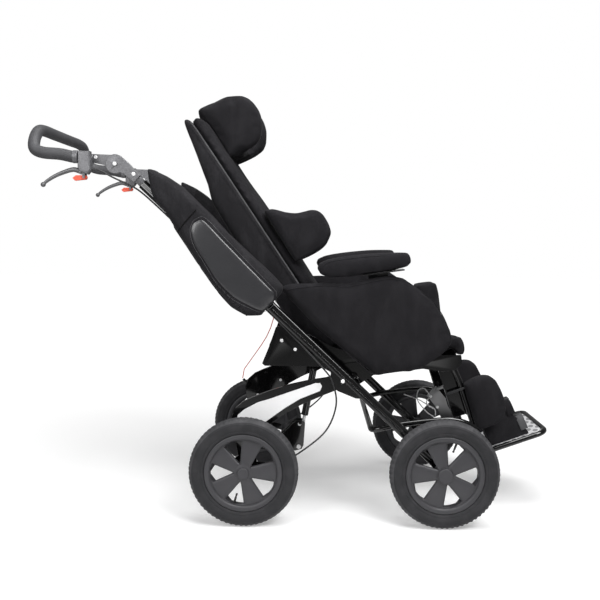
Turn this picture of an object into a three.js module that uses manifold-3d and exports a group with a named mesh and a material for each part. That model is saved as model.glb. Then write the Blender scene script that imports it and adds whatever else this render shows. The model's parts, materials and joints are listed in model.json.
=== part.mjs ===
// Tilt in space wheelchair, built as named sub-parts in nested groups.
// Millimetres and degrees. +X is forward, +Y is the left side, +Z is up.
// The origin lies on the floor, under the middle of the chair's box.
// A side of -1 is the near (right) side and +1 is the far (left) side.

import * as THREE from 'three';
import { mergeVertices } from 'three/addons/utils/BufferGeometryUtils.js';
import Module from 'manifold-3d';

const wasm = await Module();
wasm.setup();

// Clearances and shared small sizes
const TOUCH_GAP = 0.3; // between pieces that touch
const SLIDE_GAP = 0.4; // round a piece that slides
const CUT_OVERRUN = 5; // how far a cutter runs past the wall that it cuts
const SLIVER_SIZE = 0.05; // edges shorter than this are merged
const WELD_SINK = 1.5; // how deep one part of a weldment starts inside another

// Widths, from the middle of the seat outwards
const PAN_HALF_WIDTH = 184;
const SIDE_PLATE_THICKNESS = 6;
const ARM_POST_THICKNESS = 5;
const SOCKET_WALL = 1.9;
const GUARD_THICKNESS = 24;
const GUARD_COVER_GAP = 14; // from the guard to the rail's cover
const COVER_WALL = 3; // of the rail's cover, on its inner side
const RAIL_WIDTH = 22;
const WHEEL_OUTSET = 50; // from the rail's middle to the wheel's middle
const GRIP_OUTSET = 25; // from the rail's middle to the push grip's middle
const SIDE_PLATE_OUTER = PAN_HALF_WIDTH + SIDE_PLATE_THICKNESS;
const GUARD_SPACER_HEIGHT = ARM_POST_THICKNESS + 2 * SLIDE_GAP + SOCKET_WALL + TOUCH_GAP;
const GUARD_INNER_FACE = SIDE_PLATE_OUTER + GUARD_SPACER_HEIGHT;
const COVER_INNER_REACH = RAIL_WIDTH / 2 + COVER_WALL;
const RAIL_MIDDLE = GUARD_INNER_FACE + GUARD_THICKNESS + GUARD_COVER_GAP + COVER_INNER_REACH;
const RAIL_INNER_FACE = RAIL_MIDDLE - RAIL_WIDTH / 2;
const TRACK = 2 * (RAIL_MIDDLE + WHEEL_OUTSET);
const GRIP_SPACING = 2 * (RAIL_MIDDLE + GRIP_OUTSET);
const BOLT_HEAD_HEIGHT = 3;

// Wheels
const WHEEL_RADIUS = 155;
const WHEELBASE = 565;
const FRONT_AXLE_X = 379;
const TYRE_WIDTH = 50;
const TREAD_WIDTH = 22;
const TYRE_CROWN = 3;
const TYRE_SHOULDER = 11;
const TYRE_HEIGHT = 47;
const RIM_LIP_HEIGHT = 7;
const RIM_SEAT_RADIUS = WHEEL_RADIUS - TYRE_HEIGHT;
const RIM_FLANGE_RADIUS = RIM_SEAT_RADIUS + RIM_LIP_HEIGHT;
const RIM_SEAT_WIDTH = 30;
const RIM_LIP_WIDTH = 2.6;
const RIM_DEPTH = 16;
const RIM_INNER_RADIUS = RIM_SEAT_RADIUS - RIM_DEPTH;
const RIM_SHOULDER = 6;
const RIM_WIDTH = RIM_SEAT_WIDTH + 2 * RIM_SHOULDER;
const WEB_THICKNESS = 13;
const WEB_OFFSET = 6; // the web lies this far outboard of the wheel's middle
const SPOKE_COUNT = 5;
const SPOKE_GAP_INNER_RADIUS = 41;
const SPOKE_GAP_MARGIN = 3; // from the spoke gap to the rim
const SPOKE_GAP_OUTER_RADIUS = RIM_INNER_RADIUS - SPOKE_GAP_MARGIN;
const SPOKE_GAP_INNER_ANGLE = 20;
const SPOKE_GAP_OUTER_ANGLE = 35;
const HUB_RADIUS = 23;
const HUB_RAIL_GAP = 1;
const HUB_INNER_REACH = WHEEL_OUTSET - RAIL_WIDTH / 2 - HUB_RAIL_GAP;
const HUB_OUTER_REACH = 19;
const REAR_CAP_RADIUS = 16;
const FRONT_CAP_RADIUS = 21;
const CAP_HEIGHT = 5;
const AXLE_RADIUS = 6;
const AXLE_REACH = 12; // past the wheel's middle
const VALVE_RADIUS = 3;
const VALVE_LENGTH = 24;
const WHEEL_SEGMENTS = 24;
const REAR_WHEEL_TURN = -70;
const FRONT_WHEEL_TURN = 106;

// Main rails
const RAIL_ANGLE = 43.27; // from level
const RAIL_LENGTH = 1173; // from the front axle to the upper end
const RAIL_DEPTH = 28;
const RAIL_CORNER = 6;
const RAIL_GROOVE_WIDTH = 5;
const RAIL_GROOVE_DEPTH = 1.4;
const RAIL_WALL = 2.8;
const RAIL_BORE_LENGTH = 300;
const RAIL_FOOT_START = 26; // from the front axle to the lower end of the profile
const RAIL_FOOT_RADIUS = 20;
const RAIL_FOOT_ANGLE = 115; // degrees each way round the axle
const GUSSET_THICKNESS = 6;
const GUSSET_LENGTH = 135;
const GUSSET_DROP = 44;

// Frame pivot, tilt axle and hoop
const PIVOT_ALONG = 383; // from the front axle, along the rail
const GUSSET_AHEAD = 78; // of the pivot
const GUSSET_START = PIVOT_ALONG - GUSSET_AHEAD;
const PIVOT_BELOW = 12;
const PIVOT_BOLT_RADIUS = 5;
const PIVOT_HEAD_RADIUS = 8;
const PIVOT_HEAD_HEIGHT = 4;
const TILT_AHEAD = 31; // of the pivot
const TILT_ALONG = PIVOT_ALONG - TILT_AHEAD;
const TILT_ABOVE = 8;
const TILT_AXLE_RADIUS = 11;
const TILT_FLANGE_RADIUS = 13;
const TILT_FLANGE_THICKNESS = 5;
const HOOP_RADIUS = 8;
const HOOP_CORNER = 34;
const HOOP_LENGTH = 300;
const HOOP_RISE = 38;
const HOOP_REAR_ALONG = 217;
const HOOP_REAR_BELOW = 63;

// Padded rail covers
const COVER_LENGTH = 512;
const COVER_DEPTH = 150;
const COVER_BEYOND = 16; // past the rail's upper end
const COVER_START = RAIL_LENGTH + COVER_BEYOND - COVER_LENGTH;
const COVER_OUTER_REACH = 38;
const COVER_BEVEL = 9;
const CABLE_CHANNEL_WIDTH = 9;
const CABLE_CHANNEL_DEPTH = 8;

// Rear arms and rear axle
const ARM_THICKNESS = 12;
const ARM_EYE_RADIUS = 17;
const ARM_EYE_ANGLE = 110; // degrees each way round the pivot
const ARM_WIDTH = 145; // depth of the arm's bow over the line from pivot to axle
const PANEL_THICKNESS = 2.5;
const PANEL_SET_BACK = 0.2;
const PANEL_RECESS = PANEL_THICKNESS + TOUCH_GAP + PANEL_SET_BACK;
const BEAM_RADIUS = 14;
const DRUM_RADIUS = 38;
const DRUM_THICKNESS = 15;
const DRUM_LEVER_LENGTH = 86;
const DRUM_LEVER_WIDTH = 16;
const DRUM_LEVER_THICKNESS = 5;
const STRUT_CYLINDER_RADIUS = 11;
const STRUT_SIDE_GAP = 2;
const STRUT_LUG_GAP = 2 * (STRUT_CYLINDER_RADIUS + STRUT_SIDE_GAP); // between the two lugs
const STRUT_LUG_THICKNESS = 4;
const STRUT_FOOT_FORWARD = 151; // from the rear axle
const STRUT_FOOT_DROP = 4;
const STRUT_PIN_RADIUS = 5;
const STRUT_PLATE_HEIGHT = 76;
const LATCH_POST_RADIUS = 5;
const LATCH_POST_HEIGHT = 24;

// Tilt strut
const STRUT_EYE_RADIUS = 11;
const STRUT_ROD_RADIUS = 5;
const STRUT_ROD_LENGTH = 155;
const STRUT_CYLINDER_START = 100;

// Seat, measured from the tilt axle
const SEAT_ANGLE = 8;
const PAN_HEIGHT = 30;
const PAN_THICKNESS = 9.5;
const PAN_REAR = 70;
const PAN_FRONT = 318;
const PAN_WAIST = 35; // from the knee pivot back to where the pan narrows
const SIDE_PLATE_HEIGHT = 200;
const SEAT_LIP_THICKNESS = 28; // in front of the pan
const SEAT_THICKNESS = 40;
const SEAT_CROWN = 7;
const SEAT_LIP_DROP = 18; // the front edge hangs this far below the pan's top
const SEAT_REAR = 18;
const SEAT_LENGTH = PAN_FRONT + SEAT_LIP_THICKNESS - SEAT_REAR;
const SEAT_SIDE_GAP = 6;
const SEAT_HALF_WIDTH = PAN_HALF_WIDTH - SEAT_SIDE_GAP;
const SEAT_EDGE_INSET = 9;
const SEAT_CHANNEL_DEPTH = 2.5;
const POMMEL_BACK = 25; // from the pan's front edge
const POMMEL_FRONT = PAN_FRONT - POMMEL_BACK;
const POMMEL_LENGTH = 62;
const POMMEL_HEIGHT = 238;
const POMMEL_HALF_WIDTH = 46;
const POMMEL_BEVEL = 4;
const POMMEL_STEM_LENGTH = 34;
const POMMEL_STEM_HALF_WIDTH = 20;
const STRUT_HEAD_BACK = 116;
const REAR_BAR_GAP = 106; // from the strut's upper eye back to the rear bar
const REAR_BAR_BACK = STRUT_HEAD_BACK + STRUT_EYE_RADIUS + REAR_BAR_GAP;
const SIDE_PLATE_TAIL = 29; // behind the rear bar
const SIDE_PLATE_LENGTH = PAN_FRONT + REAR_BAR_BACK + SIDE_PLATE_TAIL;
const STRUT_HEAD_RISE = 18;
const GUARD_LENGTH = 487;
const GUARD_REAR = 186;
const GUARD_BEVEL = 8;
const GUARD_SPACER_RADIUS = 9;
const BOLT_HEAD_RADIUS = 6;
const ARM_PAD_LENGTH = 268;
const ARM_PAD_THICKNESS = 58;
const ARM_PAD_WIDTH = 44;
const ARM_PAD_REAR = 66;
const ARM_PAD_BOTTOM = 301;
const GUARD_TOP_RISE = 3; // of the guard's highest point, over the pad's lowest
const GUARD_HEIGHT = ARM_PAD_BOTTOM + GUARD_TOP_RISE;
const ARM_PAD_BEVEL = 9;
const ARM_POST_WIDTH = 30;
const ARM_POST_FORWARD = 105;
const ARM_POST_BOTTOM = 50;
const ARM_FLANGE_LENGTH = 120;
const ARM_FLANGE_THICKNESS = 4;
const ARM_TAB_HEIGHT = 150;

// Back, measured from the recline axle
const RECLINE_BACK = 61;
const BACK_LUG_RADIUS = 16;
const BACK_LUG_PAN_GAP = 3.5;
const RECLINE_HEIGHT = PAN_HEIGHT + PAN_THICKNESS + BACK_LUG_PAN_GAP + BACK_LUG_RADIUS;
const RECLINE_AXLE_RADIUS = 7;
const BACK_ANGLE = 25.9; // from square to the seat
const BACK_HEIGHT = 827;
const BACK_FACE = 73; // front of the back cushion, at its sides
const BACK_CUSHION_THICKNESS = 27;
const BACK_CUSHION_CROWN = 8;
const BACK_TOP_MARGIN = 10;
const BACK_CUSHION_TOP = BACK_HEIGHT - BACK_TOP_MARGIN;
const BACK_SIDE_GAP = 2;
const BACK_HALF_WIDTH = PAN_HALF_WIDTH - BACK_SIDE_GAP;
const BACK_CUSHION_BOTTOM = 2;
const BACK_EDGE_INSET = 6;
const BACK_CHANNEL_DEPTH = 4;
const SHELL_DEPTH = 90;
const SHELL_BEVEL = 8;
const SHELL_INSET = 3; // behind the cushion's edge
const SHELL_HALF_WIDTH = BACK_HALF_WIDTH - SHELL_INSET;
const BACK_LUG_WIDTH = 24;
const TRUNK_PAD_LENGTH = 145;
const TRUNK_PAD_HEIGHT = 187;
const TRUNK_PAD_THICKNESS = 44;
const TRUNK_PAD_BASE = 288;
const TRUNK_PAD_BEVEL = 10;
const TRUNK_PAD_OVERHANG = 6; // past the back cushion's side
const TRUNK_PAD_REACH = BACK_HALF_WIDTH + TRUNK_PAD_OVERHANG;
const HEAD_PAD_DEPTH = 152;
const HEAD_PAD_HEIGHT = 181;
const HEAD_PAD_DROP = 165; // below the back cushion's top
const HEAD_PAD_BASE = BACK_CUSHION_TOP - HEAD_PAD_DROP;
const HEAD_PAD_HALF_WIDTH = 134;
const HEAD_PAD_BEVEL = 12;
const HEAD_HOLLOW_HALF_WIDTH = 88;
const HEAD_PAD_BACK = 52; // behind the hollow
const HEAD_HOLLOW_DEPTH = HEAD_PAD_DEPTH - HEAD_PAD_BACK;
const STEM_HALF_WIDTH = 12;
const STEM_THICKNESS = 8;
const STEM_WALL = 7.7; // of the shell, in front of the stem
const SHELL_FACE = BACK_FACE - BACK_CUSHION_THICKNESS - TOUCH_GAP;
const STEM_BACK = SHELL_FACE - STEM_WALL - STEM_THICKNESS;
const STEM_LENGTH = 250;
const STEM_ARM_HEIGHT = 6;
const STEM_ARM_REACH = 24; // into the head pad

// Leg rest, measured from the knee pivot
const KNEE_BACK = 22; // from the pan's front edge
const KNEE_FORWARD = PAN_FRONT - KNEE_BACK;
const KNEE_HEIGHT = 9;
const LEG_ANGLE = 10.6;
const KNEE_DISC_RADIUS = 18;
const KNEE_PIN_RADIUS = 7;
const KNEE_BRACKET_REACH = 130; // outer face of the seat's knee bracket
const KNEE_BRACKET_THICKNESS = 8;
const LEG_LENGTH = 170;
const LEG_DEPTH = 46; // from the knee pivot back to the rear flange
const LEG_PLATE_THICKNESS = 4;
const LEG_TUBE_RADIUS = 9.5;
const LEG_PLATE_INNER = KNEE_BRACKET_REACH + 2 * TOUCH_GAP;
const LEG_TUBE_MIDDLE = LEG_PLATE_INNER + LEG_TUBE_RADIUS;
const LEG_CROSS_RADIUS = 7;
const CALF_PAD_WIDTH = 112;
const CALF_PAD_HEIGHT = 154;
const CALF_PAD_TOP = 69;
const CALF_PAD_THICKNESS = 48;
const CALF_PAD_OUTSET = 28; // from the leg tube's middle to the pad's outer face
const CALF_PAD_BEVEL = 10;
const LOWER_TUBE_RADIUS = 6.5;
const LOWER_TUBE_TOP = 62; // of the bore that it slides in
const LOWER_TUBE_RISE = 22; // room over the tube in its bore, for the shorter settings
const FOOT_PIVOT_DROP = 300;
const FOOT_CROSS_RADIUS = 7;
const LOCK_PLATE_WIDTH = 64;
const LOCK_PLATE_HEIGHT = 114;
const LOCK_PLATE_THICKNESS = 6;
const LOCK_STANDOFF = 12.4; // from the cross bar back to the plate
const LOCK_RISE = 10; // of the plate's top, over the cross bar's middle

// Footplate, measured from the foot pivot
const FOOT_ANGLE = 1.2;
const FOOT_LENGTH = 206;
const FOOT_SIDE_GAP = 8; // from the leg tube's middle in to the foot tube's
const FOOT_HALF_WIDTH = LEG_TUBE_MIDDLE - FOOT_SIDE_GAP;
const FOOT_TUBE_RADIUS = 8;
const FOOT_CORNER = 34;
const FOOT_SLEEVE_RADIUS = 12;
const FOOT_SLEEVE_WIDTH = 30;
const TREAD_PLATE_THICKNESS = 5;
const TREAD_REAR = 18;
const SANDAL_SIDE_GAP = 13; // from the foot tube
const SANDAL_HALF_WIDTH = 31;
const SANDAL_CENTRE = FOOT_HALF_WIDTH - FOOT_TUBE_RADIUS - SANDAL_SIDE_GAP - SANDAL_HALF_WIDTH;
const SANDAL_WALL = 4;
const SANDAL_LENGTH = 124;
const SANDAL_HEIGHT = 132;
const SANDAL_REAR = 34;
const STRAP_THICKNESS = 3;
const STRAP_WIDTH = 26;

// Push handle
const JOINT_BEYOND = 92; // past the rail's upper end
const JOINT_ALONG = RAIL_LENGTH + JOINT_BEYOND;
const JOINT_BELOW = 12;
const JOINT_DISC_RADIUS = 27;
const JOINT_DISC_THICKNESS = 12;
const JOINT_BOLT_RADIUS = 5;
const SLIDE_TUBE_DEPTH = RAIL_DEPTH - 2 * (RAIL_WALL + SLIDE_GAP);
const SLIDE_TUBE_WIDTH = RAIL_WIDTH - 2 * (RAIL_WALL + SLIDE_GAP);
const SLIDE_TUBE_LENGTH = 250;
const CASTING_DEPTH = 26;
const GRIP_RADIUS = 16.5;
const HANDLE_TUBE_RADIUS = 11;
const CLAMP_LENGTH = 33;
const CLAMP_HEIGHT = 64;
const CLAMP_WIDTH = 28;
const GRIP_START = 97; // behind the joint disc
const HANDLE_REACH = 228;
const HANDLE_RISE = 101;
const HANDLE_BAR_SHARE_OF_WIDTH = 0.27; // where the raised bar starts, from the middle
const LEVER_LENGTH = 107;
const GRIP_HEIGHT = 0.17 * HANDLE_RISE; // of the side grips, over the joint
const CLAMP_TOP = GRIP_HEIGHT + HANDLE_TUBE_RADIUS + 1.5 * BOLT_HEAD_HEIGHT;
const LEVER_PIN_INSET = 7; // from the clamp's rear face
const LEVER_PIN_RISE = 8; // from the clamp's lower end
const LEVER_BACK = GRIP_START - LEVER_PIN_INSET;
const LEVER_DROP = CLAMP_HEIGHT - CLAMP_TOP - LEVER_PIN_RISE;
const LEVER_RADIUS = 4.5;
const LEVER_BALL_RADIUS = 7;
const LEVER_HUB_RADIUS = 8;
const TAB_LENGTH = 40;
const TAB_HEIGHT = 15;
const TAB_THICKNESS = 14;
const TAB_DROP = 7.7; // from the clamp's lower end to the tab's pin
const TAB_PIN_FORWARD = 9; // of the lever's hub
const TAB_PIN_RADIUS = 2;
const TAB_LUG_THICKNESS = 4;

// Cables. Each run lists how far up the rail from a joint, how far below the rail's middle
// and how far outboard of it the cable passes: first from the handle's joint, then from the
// frame pivot.
const CABLE_RADIUS = 2.4;
const CABLE_TOP_RUN = [[32, 67, 25], [17, 54, 24], [-25, 42, 16], [-70, 27, 4], [-110, 19.5, 0]];
const CABLE_LOW_RUN = [[63, 25, 8], [13, 38, 10], [-36, 77, 10], [-66, 150, 6], [-59, 240, 0]];
const CORD_RADIUS = 1.6;

// Face counts
const TUBE_SIDES = 8;
const CORD_SIDES = 7;
const CABLE_STEPS = 20;
const PIN_SIDES = 12;
const BEND_STEPS = 3;

const ARM_OUTER_FACE = RAIL_INNER_FACE - TOUCH_GAP;
const ARM_INNER_FACE = ARM_OUTER_FACE - ARM_THICKNESS;

// Materials
const paint = (color, roughness, metalness) => (
  new THREE.MeshStandardMaterial({ color, roughness, metalness })
);
const blackFrame = paint(0x0c0c0d, 0.25, 0.3);
const castMetal = paint(0x6b6b70, 0.55, 0.5);
const steel = paint(0xc9cacc, 0.35, 0.8);
const tyreRubber = paint(0x2b2b2e, 0.85, 0);
const wheelPlastic = paint(0x3d3c40, 0.6, 0);
const fabric = paint(0x1f1e21, 0.9, 0);
const panelWhite = paint(0xf2f2f2, 0.4, 0);
const gripFoam = paint(0x2e2e31, 0.8, 0);
const cableBlack = paint(0x1a1a1b, 0.5, 0);
const redPlastic = paint(0xe2492f, 0.45, 0);
const treadMetal = paint(0x9a9a9c, 0.4, 0.7);

// Vectors and curves

const radians = (degrees) => THREE.MathUtils.degToRad(degrees);

function onRail(along, above) {
  const slope = radians(RAIL_ANGLE);
  return [
    FRONT_AXLE_X - along * Math.cos(slope) + above * Math.sin(slope),
    WHEEL_RADIUS + along * Math.sin(slope) + above * Math.cos(slope),
  ];
}

// Scales a table of shares by a width and a height, from a corner.
function scaled(shares, width, height, x = 0, z = 0) {
  return shares.map(([across, up]) => [x + across * width, z + up * height]);
}

function circleOutline(radius, sides, x = 0, z = 0) {
  return Array.from({ length: sides }, (_, index) => {
    const angle = (2 * Math.PI * index) / sides;
    return [x + radius * Math.cos(angle), z + radius * Math.sin(angle)];
  });
}

// Points on an arc from one angle to another, in degrees.
function arc(radius, from, to, steps, x = 0, z = 0) {
  return Array.from({ length: steps + 1 }, (_, step) => {
    const angle = radians(from + ((to - from) * step) / steps);
    return [x + radius * Math.cos(angle), z + radius * Math.sin(angle)];
  });
}

// A rectangle with round corners, as points [x, z].
function roundedRectangle(width, height, corner, steps = 3) {
  const points = [];
  const centres = [[1, 1], [-1, 1], [-1, -1], [1, -1]];
  centres.forEach(([right, up], quarter) => {
    for (let step = 0; step <= steps; step += 1) {
      const angle = (quarter + step / steps) * (Math.PI / 2);
      points.push([
        right * (width / 2 - corner) + corner * Math.cos(angle),
        up * (height / 2 - corner) + corner * Math.sin(angle),
      ]);
    }
  });
  return points;
}

// Moves each corner of an outline outwards by a distance.
function inflate(outline, distance) {
  const area = THREE.ShapeUtils.area(outline.map(([x, y]) => new THREE.Vector2(x, y)));
  const turn = Math.sign(area);
  return outline.map((point, index) => {
    const before = outline[(index + outline.length - 1) % outline.length];
    const after = outline[(index + 1) % outline.length];
    const along = new THREE.Vector2(after[0] - before[0], after[1] - before[1]).normalize();
    return [point[0] + turn * distance * along.y, point[1] - turn * distance * along.x];
  });
}

// Solids

function solid(geometry) {
  const bare = geometry.clone();
  bare.deleteAttribute('normal');
  bare.deleteAttribute('uv');
  const merged = mergeVertices(bare);
  return new wasm.Manifold(new wasm.Mesh({
    numProp: 3,
    vertProperties: merged.attributes.position.array,
    triVerts: merged.index.array,
  }));
}

function shapeFrom(outline) {
  return new THREE.Shape(outline.map(([x, y]) => new THREE.Vector2(x, y)));
}

// An outline [x, z] made into a plate between two distances along Y.
function plate(outline, from, to, bevel = 0, bevelSteps = 2) {
  const low = Math.min(from, to);
  const high = Math.max(from, to);
  const geometry = new THREE.ExtrudeGeometry(shapeFrom(outline), {
    depth: high - low - 2 * bevel,
    bevelEnabled: bevel > 0,
    bevelThickness: bevel,
    bevelSize: bevel,
    bevelOffset: -bevel,
    bevelSegments: bevelSteps,
  });
  geometry.rotateX(Math.PI / 2);
  geometry.translate(0, high - bevel, 0);
  return solid(geometry);
}

// An outline [y, z] made into a bar between two distances along X.
function bar(outline, from, to) {
  const geometry = new THREE.ExtrudeGeometry(shapeFrom(outline), {
    depth: to - from,
    bevelEnabled: false,
  });
  geometry.applyMatrix4(new THREE.Matrix4().makeBasis(
    new THREE.Vector3(0, 1, 0),
    new THREE.Vector3(0, 0, 1),
    new THREE.Vector3(1, 0, 0),
  ));
  geometry.translate(from, 0, 0);
  return solid(geometry);
}

// An outline [x, y] made into a slab between two heights.
function slab(outline, from, to, bevel = 0, bevelSteps = 2) {
  const geometry = new THREE.ExtrudeGeometry(shapeFrom(outline), {
    depth: to - from - 2 * bevel,
    bevelEnabled: bevel > 0,
    bevelThickness: bevel,
    bevelSize: bevel,
    bevelOffset: -bevel,
    bevelSegments: bevelSteps,
  });
  geometry.translate(0, 0, from + bevel);
  return solid(geometry);
}

// A round pin along Y, centred on [x, z].
function pin(radius, from, to, x = 0, z = 0, sides = PIN_SIDES) {
  return plate(circleOutline(radius, sides, x, z), from, to);
}

// A cutter that clears a round pin of the radius, whatever way the pin is turned.
function bore(radius, from, to, x = 0, z = 0) {
  return pin((radius + TOUCH_GAP) / Math.cos(Math.PI / PIN_SIDES), from, to, x, z);
}

function block(x0, x1, y0, y1, z0, z1) {
  const geometry = new THREE.BoxGeometry(x1 - x0, y1 - y0, z1 - z0);
  geometry.translate((x0 + x1) / 2, (y0 + y1) / 2, (z0 + z1) / 2);
  return solid(geometry);
}

// A profile [radius, y], listed counterclockwise, turned round the Y axis.
function turned(profile, segments) {
  const points = profile.map(([radius, y]) => new THREE.Vector2(radius, y));
  return solid(new THREE.LatheGeometry(points, segments));
}

function fan(sides) {
  return Array.from({ length: sides - 2 }, (_, index) => [0, index + 1, index + 2]);
}

// Triangles over a ring in a plane square to Y, turned the way the ring goes round.
function cutUp(ring) {
  const flat = ring.map((place) => new THREE.Vector2(place.x, place.z));
  const triangles = THREE.ShapeUtils.triangulateShape(flat, []);
  const area = triangles.reduce((sum, corners) => (
    sum + THREE.ShapeUtils.area(corners.map((corner) => flat[corner]))
  ), 0);
  const sameTurn = area * THREE.ShapeUtils.area(flat) > 0;
  return triangles.map(([a, b, c]) => (sameTurn ? [a, b, c] : [a, c, b]));
}

// Skins a row of rings that all have as many points. Each end is closed by a fan, or,
// where the rings lie in planes square to Y and aren't convex, by a cut-up outline.
function loft(rings, cutEnds = false) {
  const sides = rings[0].length;
  const corners = rings.flat().flatMap((point) => [point.x, point.y, point.z]);
  const faces = [];
  for (let row = 0; row + 1 < rings.length; row += 1) {
    for (let side = 0; side < sides; side += 1) {
      const next = (side + 1) % sides;
      const a = row * sides + side;
      const b = row * sides + next;
      faces.push(a, b, b + sides, a, b + sides, a + sides);
    }
  }
  const last = (rings.length - 1) * sides;
  const cap = (ring) => (cutEnds ? cutUp(ring) : fan(sides));
  cap(rings[0]).forEach(([a, b, c]) => faces.push(a, c, b));
  cap(rings[rings.length - 1]).forEach(([a, b, c]) => faces.push(last + a, last + b, last + c));
  const geometry = new THREE.BufferGeometry();
  geometry.setAttribute('position', new THREE.Float32BufferAttribute(corners, 3));
  geometry.setIndex(faces);
  return solid(geometry);
}

// A padded panel: an outline [x, z] between two distances along Y, with round edges.
function padded(outline, from, to, rounding, steps = 2) {
  const low = Math.min(from, to);
  const high = Math.max(from, to);
  const turn = THREE.ShapeUtils.isClockWise(shapeFrom(outline).getPoints()) ? outline : [...outline].reverse();
  const levels = [];
  for (let step = 0; step <= steps; step += 1) {
    const angle = (step / steps) * (Math.PI / 2);
    levels.push([rounding * (1 - Math.cos(angle)), rounding * (1 - Math.sin(angle))]);
  }
  const rings = [
    ...levels.map(([depth, inset]) => [low + depth, inset]),
    ...[...levels].reverse().map(([depth, inset]) => [high - depth, inset]),
  ];
  return loft(rings.map(([y, inset]) => (
    inflate(turn, -inset).map(([x, z]) => new THREE.Vector3(x, y, z))
  )), true);
}

// Straight runs between the points, with each inner corner rounded by a bend.
function bentPath(points, bend, steps = BEND_STEPS) {
  const path = [points[0].clone()];
  for (let index = 1; index + 1 < points.length; index += 1) {
    const corner = points[index];
    const back = points[index - 1].clone().sub(corner);
    const ahead = points[index + 1].clone().sub(corner);
    const reach = Math.min(bend, back.length() / 2, ahead.length() / 2);
    const start = corner.clone().add(back.setLength(reach));
    const end = corner.clone().add(ahead.setLength(reach));
    const curve = new THREE.QuadraticBezierCurve3(start, corner, end);
    path.push(...curve.getPoints(steps));
  }
  path.push(points[points.length - 1].clone());
  return path;
}

// A round tube along a list of points. The ring's frame is carried from point to point.
function tube(path, radius, sides = TUBE_SIDES) {
  const tangents = path.map((point, index) => {
    const before = path[Math.max(index - 1, 0)];
    const after = path[Math.min(index + 1, path.length - 1)];
    return after.clone().sub(before).normalize();
  });
  const start = Math.abs(tangents[0].y) < 0.9 ? new THREE.Vector3(0, 1, 0) : new THREE.Vector3(1, 0, 0);
  let normal = start.sub(tangents[0].clone().multiplyScalar(start.dot(tangents[0]))).normalize();
  const rings = path.map((point, index) => {
    const tangent = tangents[index];
    if (index > 0) {
      const turn = new THREE.Quaternion().setFromUnitVectors(tangents[index - 1], tangent);
      normal = normal.clone().applyQuaternion(turn);
    }
    const binormal = tangent.clone().cross(normal);
    return Array.from({ length: sides }, (_, side) => {
      const angle = (2 * Math.PI * side) / sides;
      return point.clone()
        .addScaledVector(normal, radius * Math.cos(angle))
        .addScaledVector(binormal, radius * Math.sin(angle));
    });
  });
  return loft(rings);
}

// A smooth tube through a few route points.
function routedTube(points, radius, steps, sides = CORD_SIDES) {
  const curve = new THREE.CatmullRomCurve3(points, false, 'centripetal');
  return tube(curve.getSpacedPoints(steps), radius, sides);
}

// A cushion that stands on z = 0 with its flat base, centred in X and Y. Its top swells
// within the crown's span, its sides draw in between the corners and its edges are round.
function cushion(size, cells, form) {
  const geometry = new THREE.BoxGeometry(2, 2, 2, cells[0], cells[1], 2);
  const place = geometry.attributes.position;
  const [length, width, thickness] = size;
  for (let index = 0; index < place.count; index += 1) {
    const u = place.getX(index);
    const v = place.getY(index);
    const w = place.getZ(index);
    const inset = form.edgeInset * w ** 4;
    const halfLength = (length / 2) * (1 - form.drawShare * (1 - v * v)) - inset * u ** 8;
    const halfWidth = (width / 2) * (1 - form.drawShare * (1 - u * u)) - inset * v ** 8;
    const rise = form.crown * hump(u, form.crownSpan[0]) * hump(v, form.crownSpan[1]);
    const channel = form.channelDepth * channelDip(u, form.channels);
    const top = thickness - form.crown + rise - channel;
    place.setXYZ(index, halfLength * u, halfWidth * v, (top * (w + 1)) / 2);
  }
  return solid(geometry);
}

// One in the middle of the span, falling to nothing at its ends.
function hump(place, [from, to]) {
  const across = (2 * place - from - to) / (to - from);
  return Math.abs(across) < 1 ? 1 - across * across : 0;
}

// Near 1 in each of the evenly spaced channels, near 0 between them.
function channelDip(u, channels) {
  const phase = ((u + 1) / 2) * (channels + 1);
  const nearest = Math.round(phase);
  if (nearest < 1 || nearest > channels) return 0;
  return Math.exp(-((phase - nearest) ** 2) / 0.02);
}

function geometryOf(manifold) {
  const mesh = manifold.simplify(SLIVER_SIZE).getMesh();
  const geometry = new THREE.BufferGeometry();
  const corners = new Float32Array(mesh.vertProperties);
  geometry.setAttribute('position', new THREE.BufferAttribute(corners, 3));
  geometry.setIndex(new THREE.BufferAttribute(new Uint32Array(mesh.triVerts), 1));
  geometry.computeVertexNormals();
  return geometry;
}

function add(group, name, shape, material) {
  const mesh = new THREE.Mesh(geometryOf(shape), material);
  mesh.name = name;
  group.add(mesh);
  return mesh;
}

// A nested group at a place in its parent's XZ plane. A positive angle lifts the front.
function frameAt(parent, [x, z], angle = 0) {
  const group = new THREE.Group();
  group.position.set(x, 0, z);
  group.rotation.y = -radians(angle);
  parent.add(group);
  return group;
}

const join = (...solids) => solids.reduce((whole, next) => whole.add(next));
const point = (x, y, z) => new THREE.Vector3(x, y, z);
const sides = [['near', -1], ['far', 1]];

// Wheels

function tyre() {
  const half = TYRE_WIDTH / 2;
  const seatHalf = RIM_SEAT_WIDTH / 2;
  const beadRadius = RIM_SEAT_RADIUS + TOUCH_GAP;
  const profile = [
    [beadRadius, -seatHalf],
    [RIM_FLANGE_RADIUS + TOUCH_GAP, -seatHalf - RIM_LIP_WIDTH],
    [WHEEL_RADIUS - 1.8 * TYRE_SHOULDER, -half],
    [WHEEL_RADIUS - TYRE_CROWN, -TREAD_WIDTH / 2 - TYRE_CROWN],
    [WHEEL_RADIUS, -TREAD_WIDTH / 2],
  ];
  const mirrored = profile.map(([radius, y]) => [radius, -y]).reverse();
  return turned([...profile, ...mirrored, profile[0]], WHEEL_SEGMENTS);
}

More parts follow.
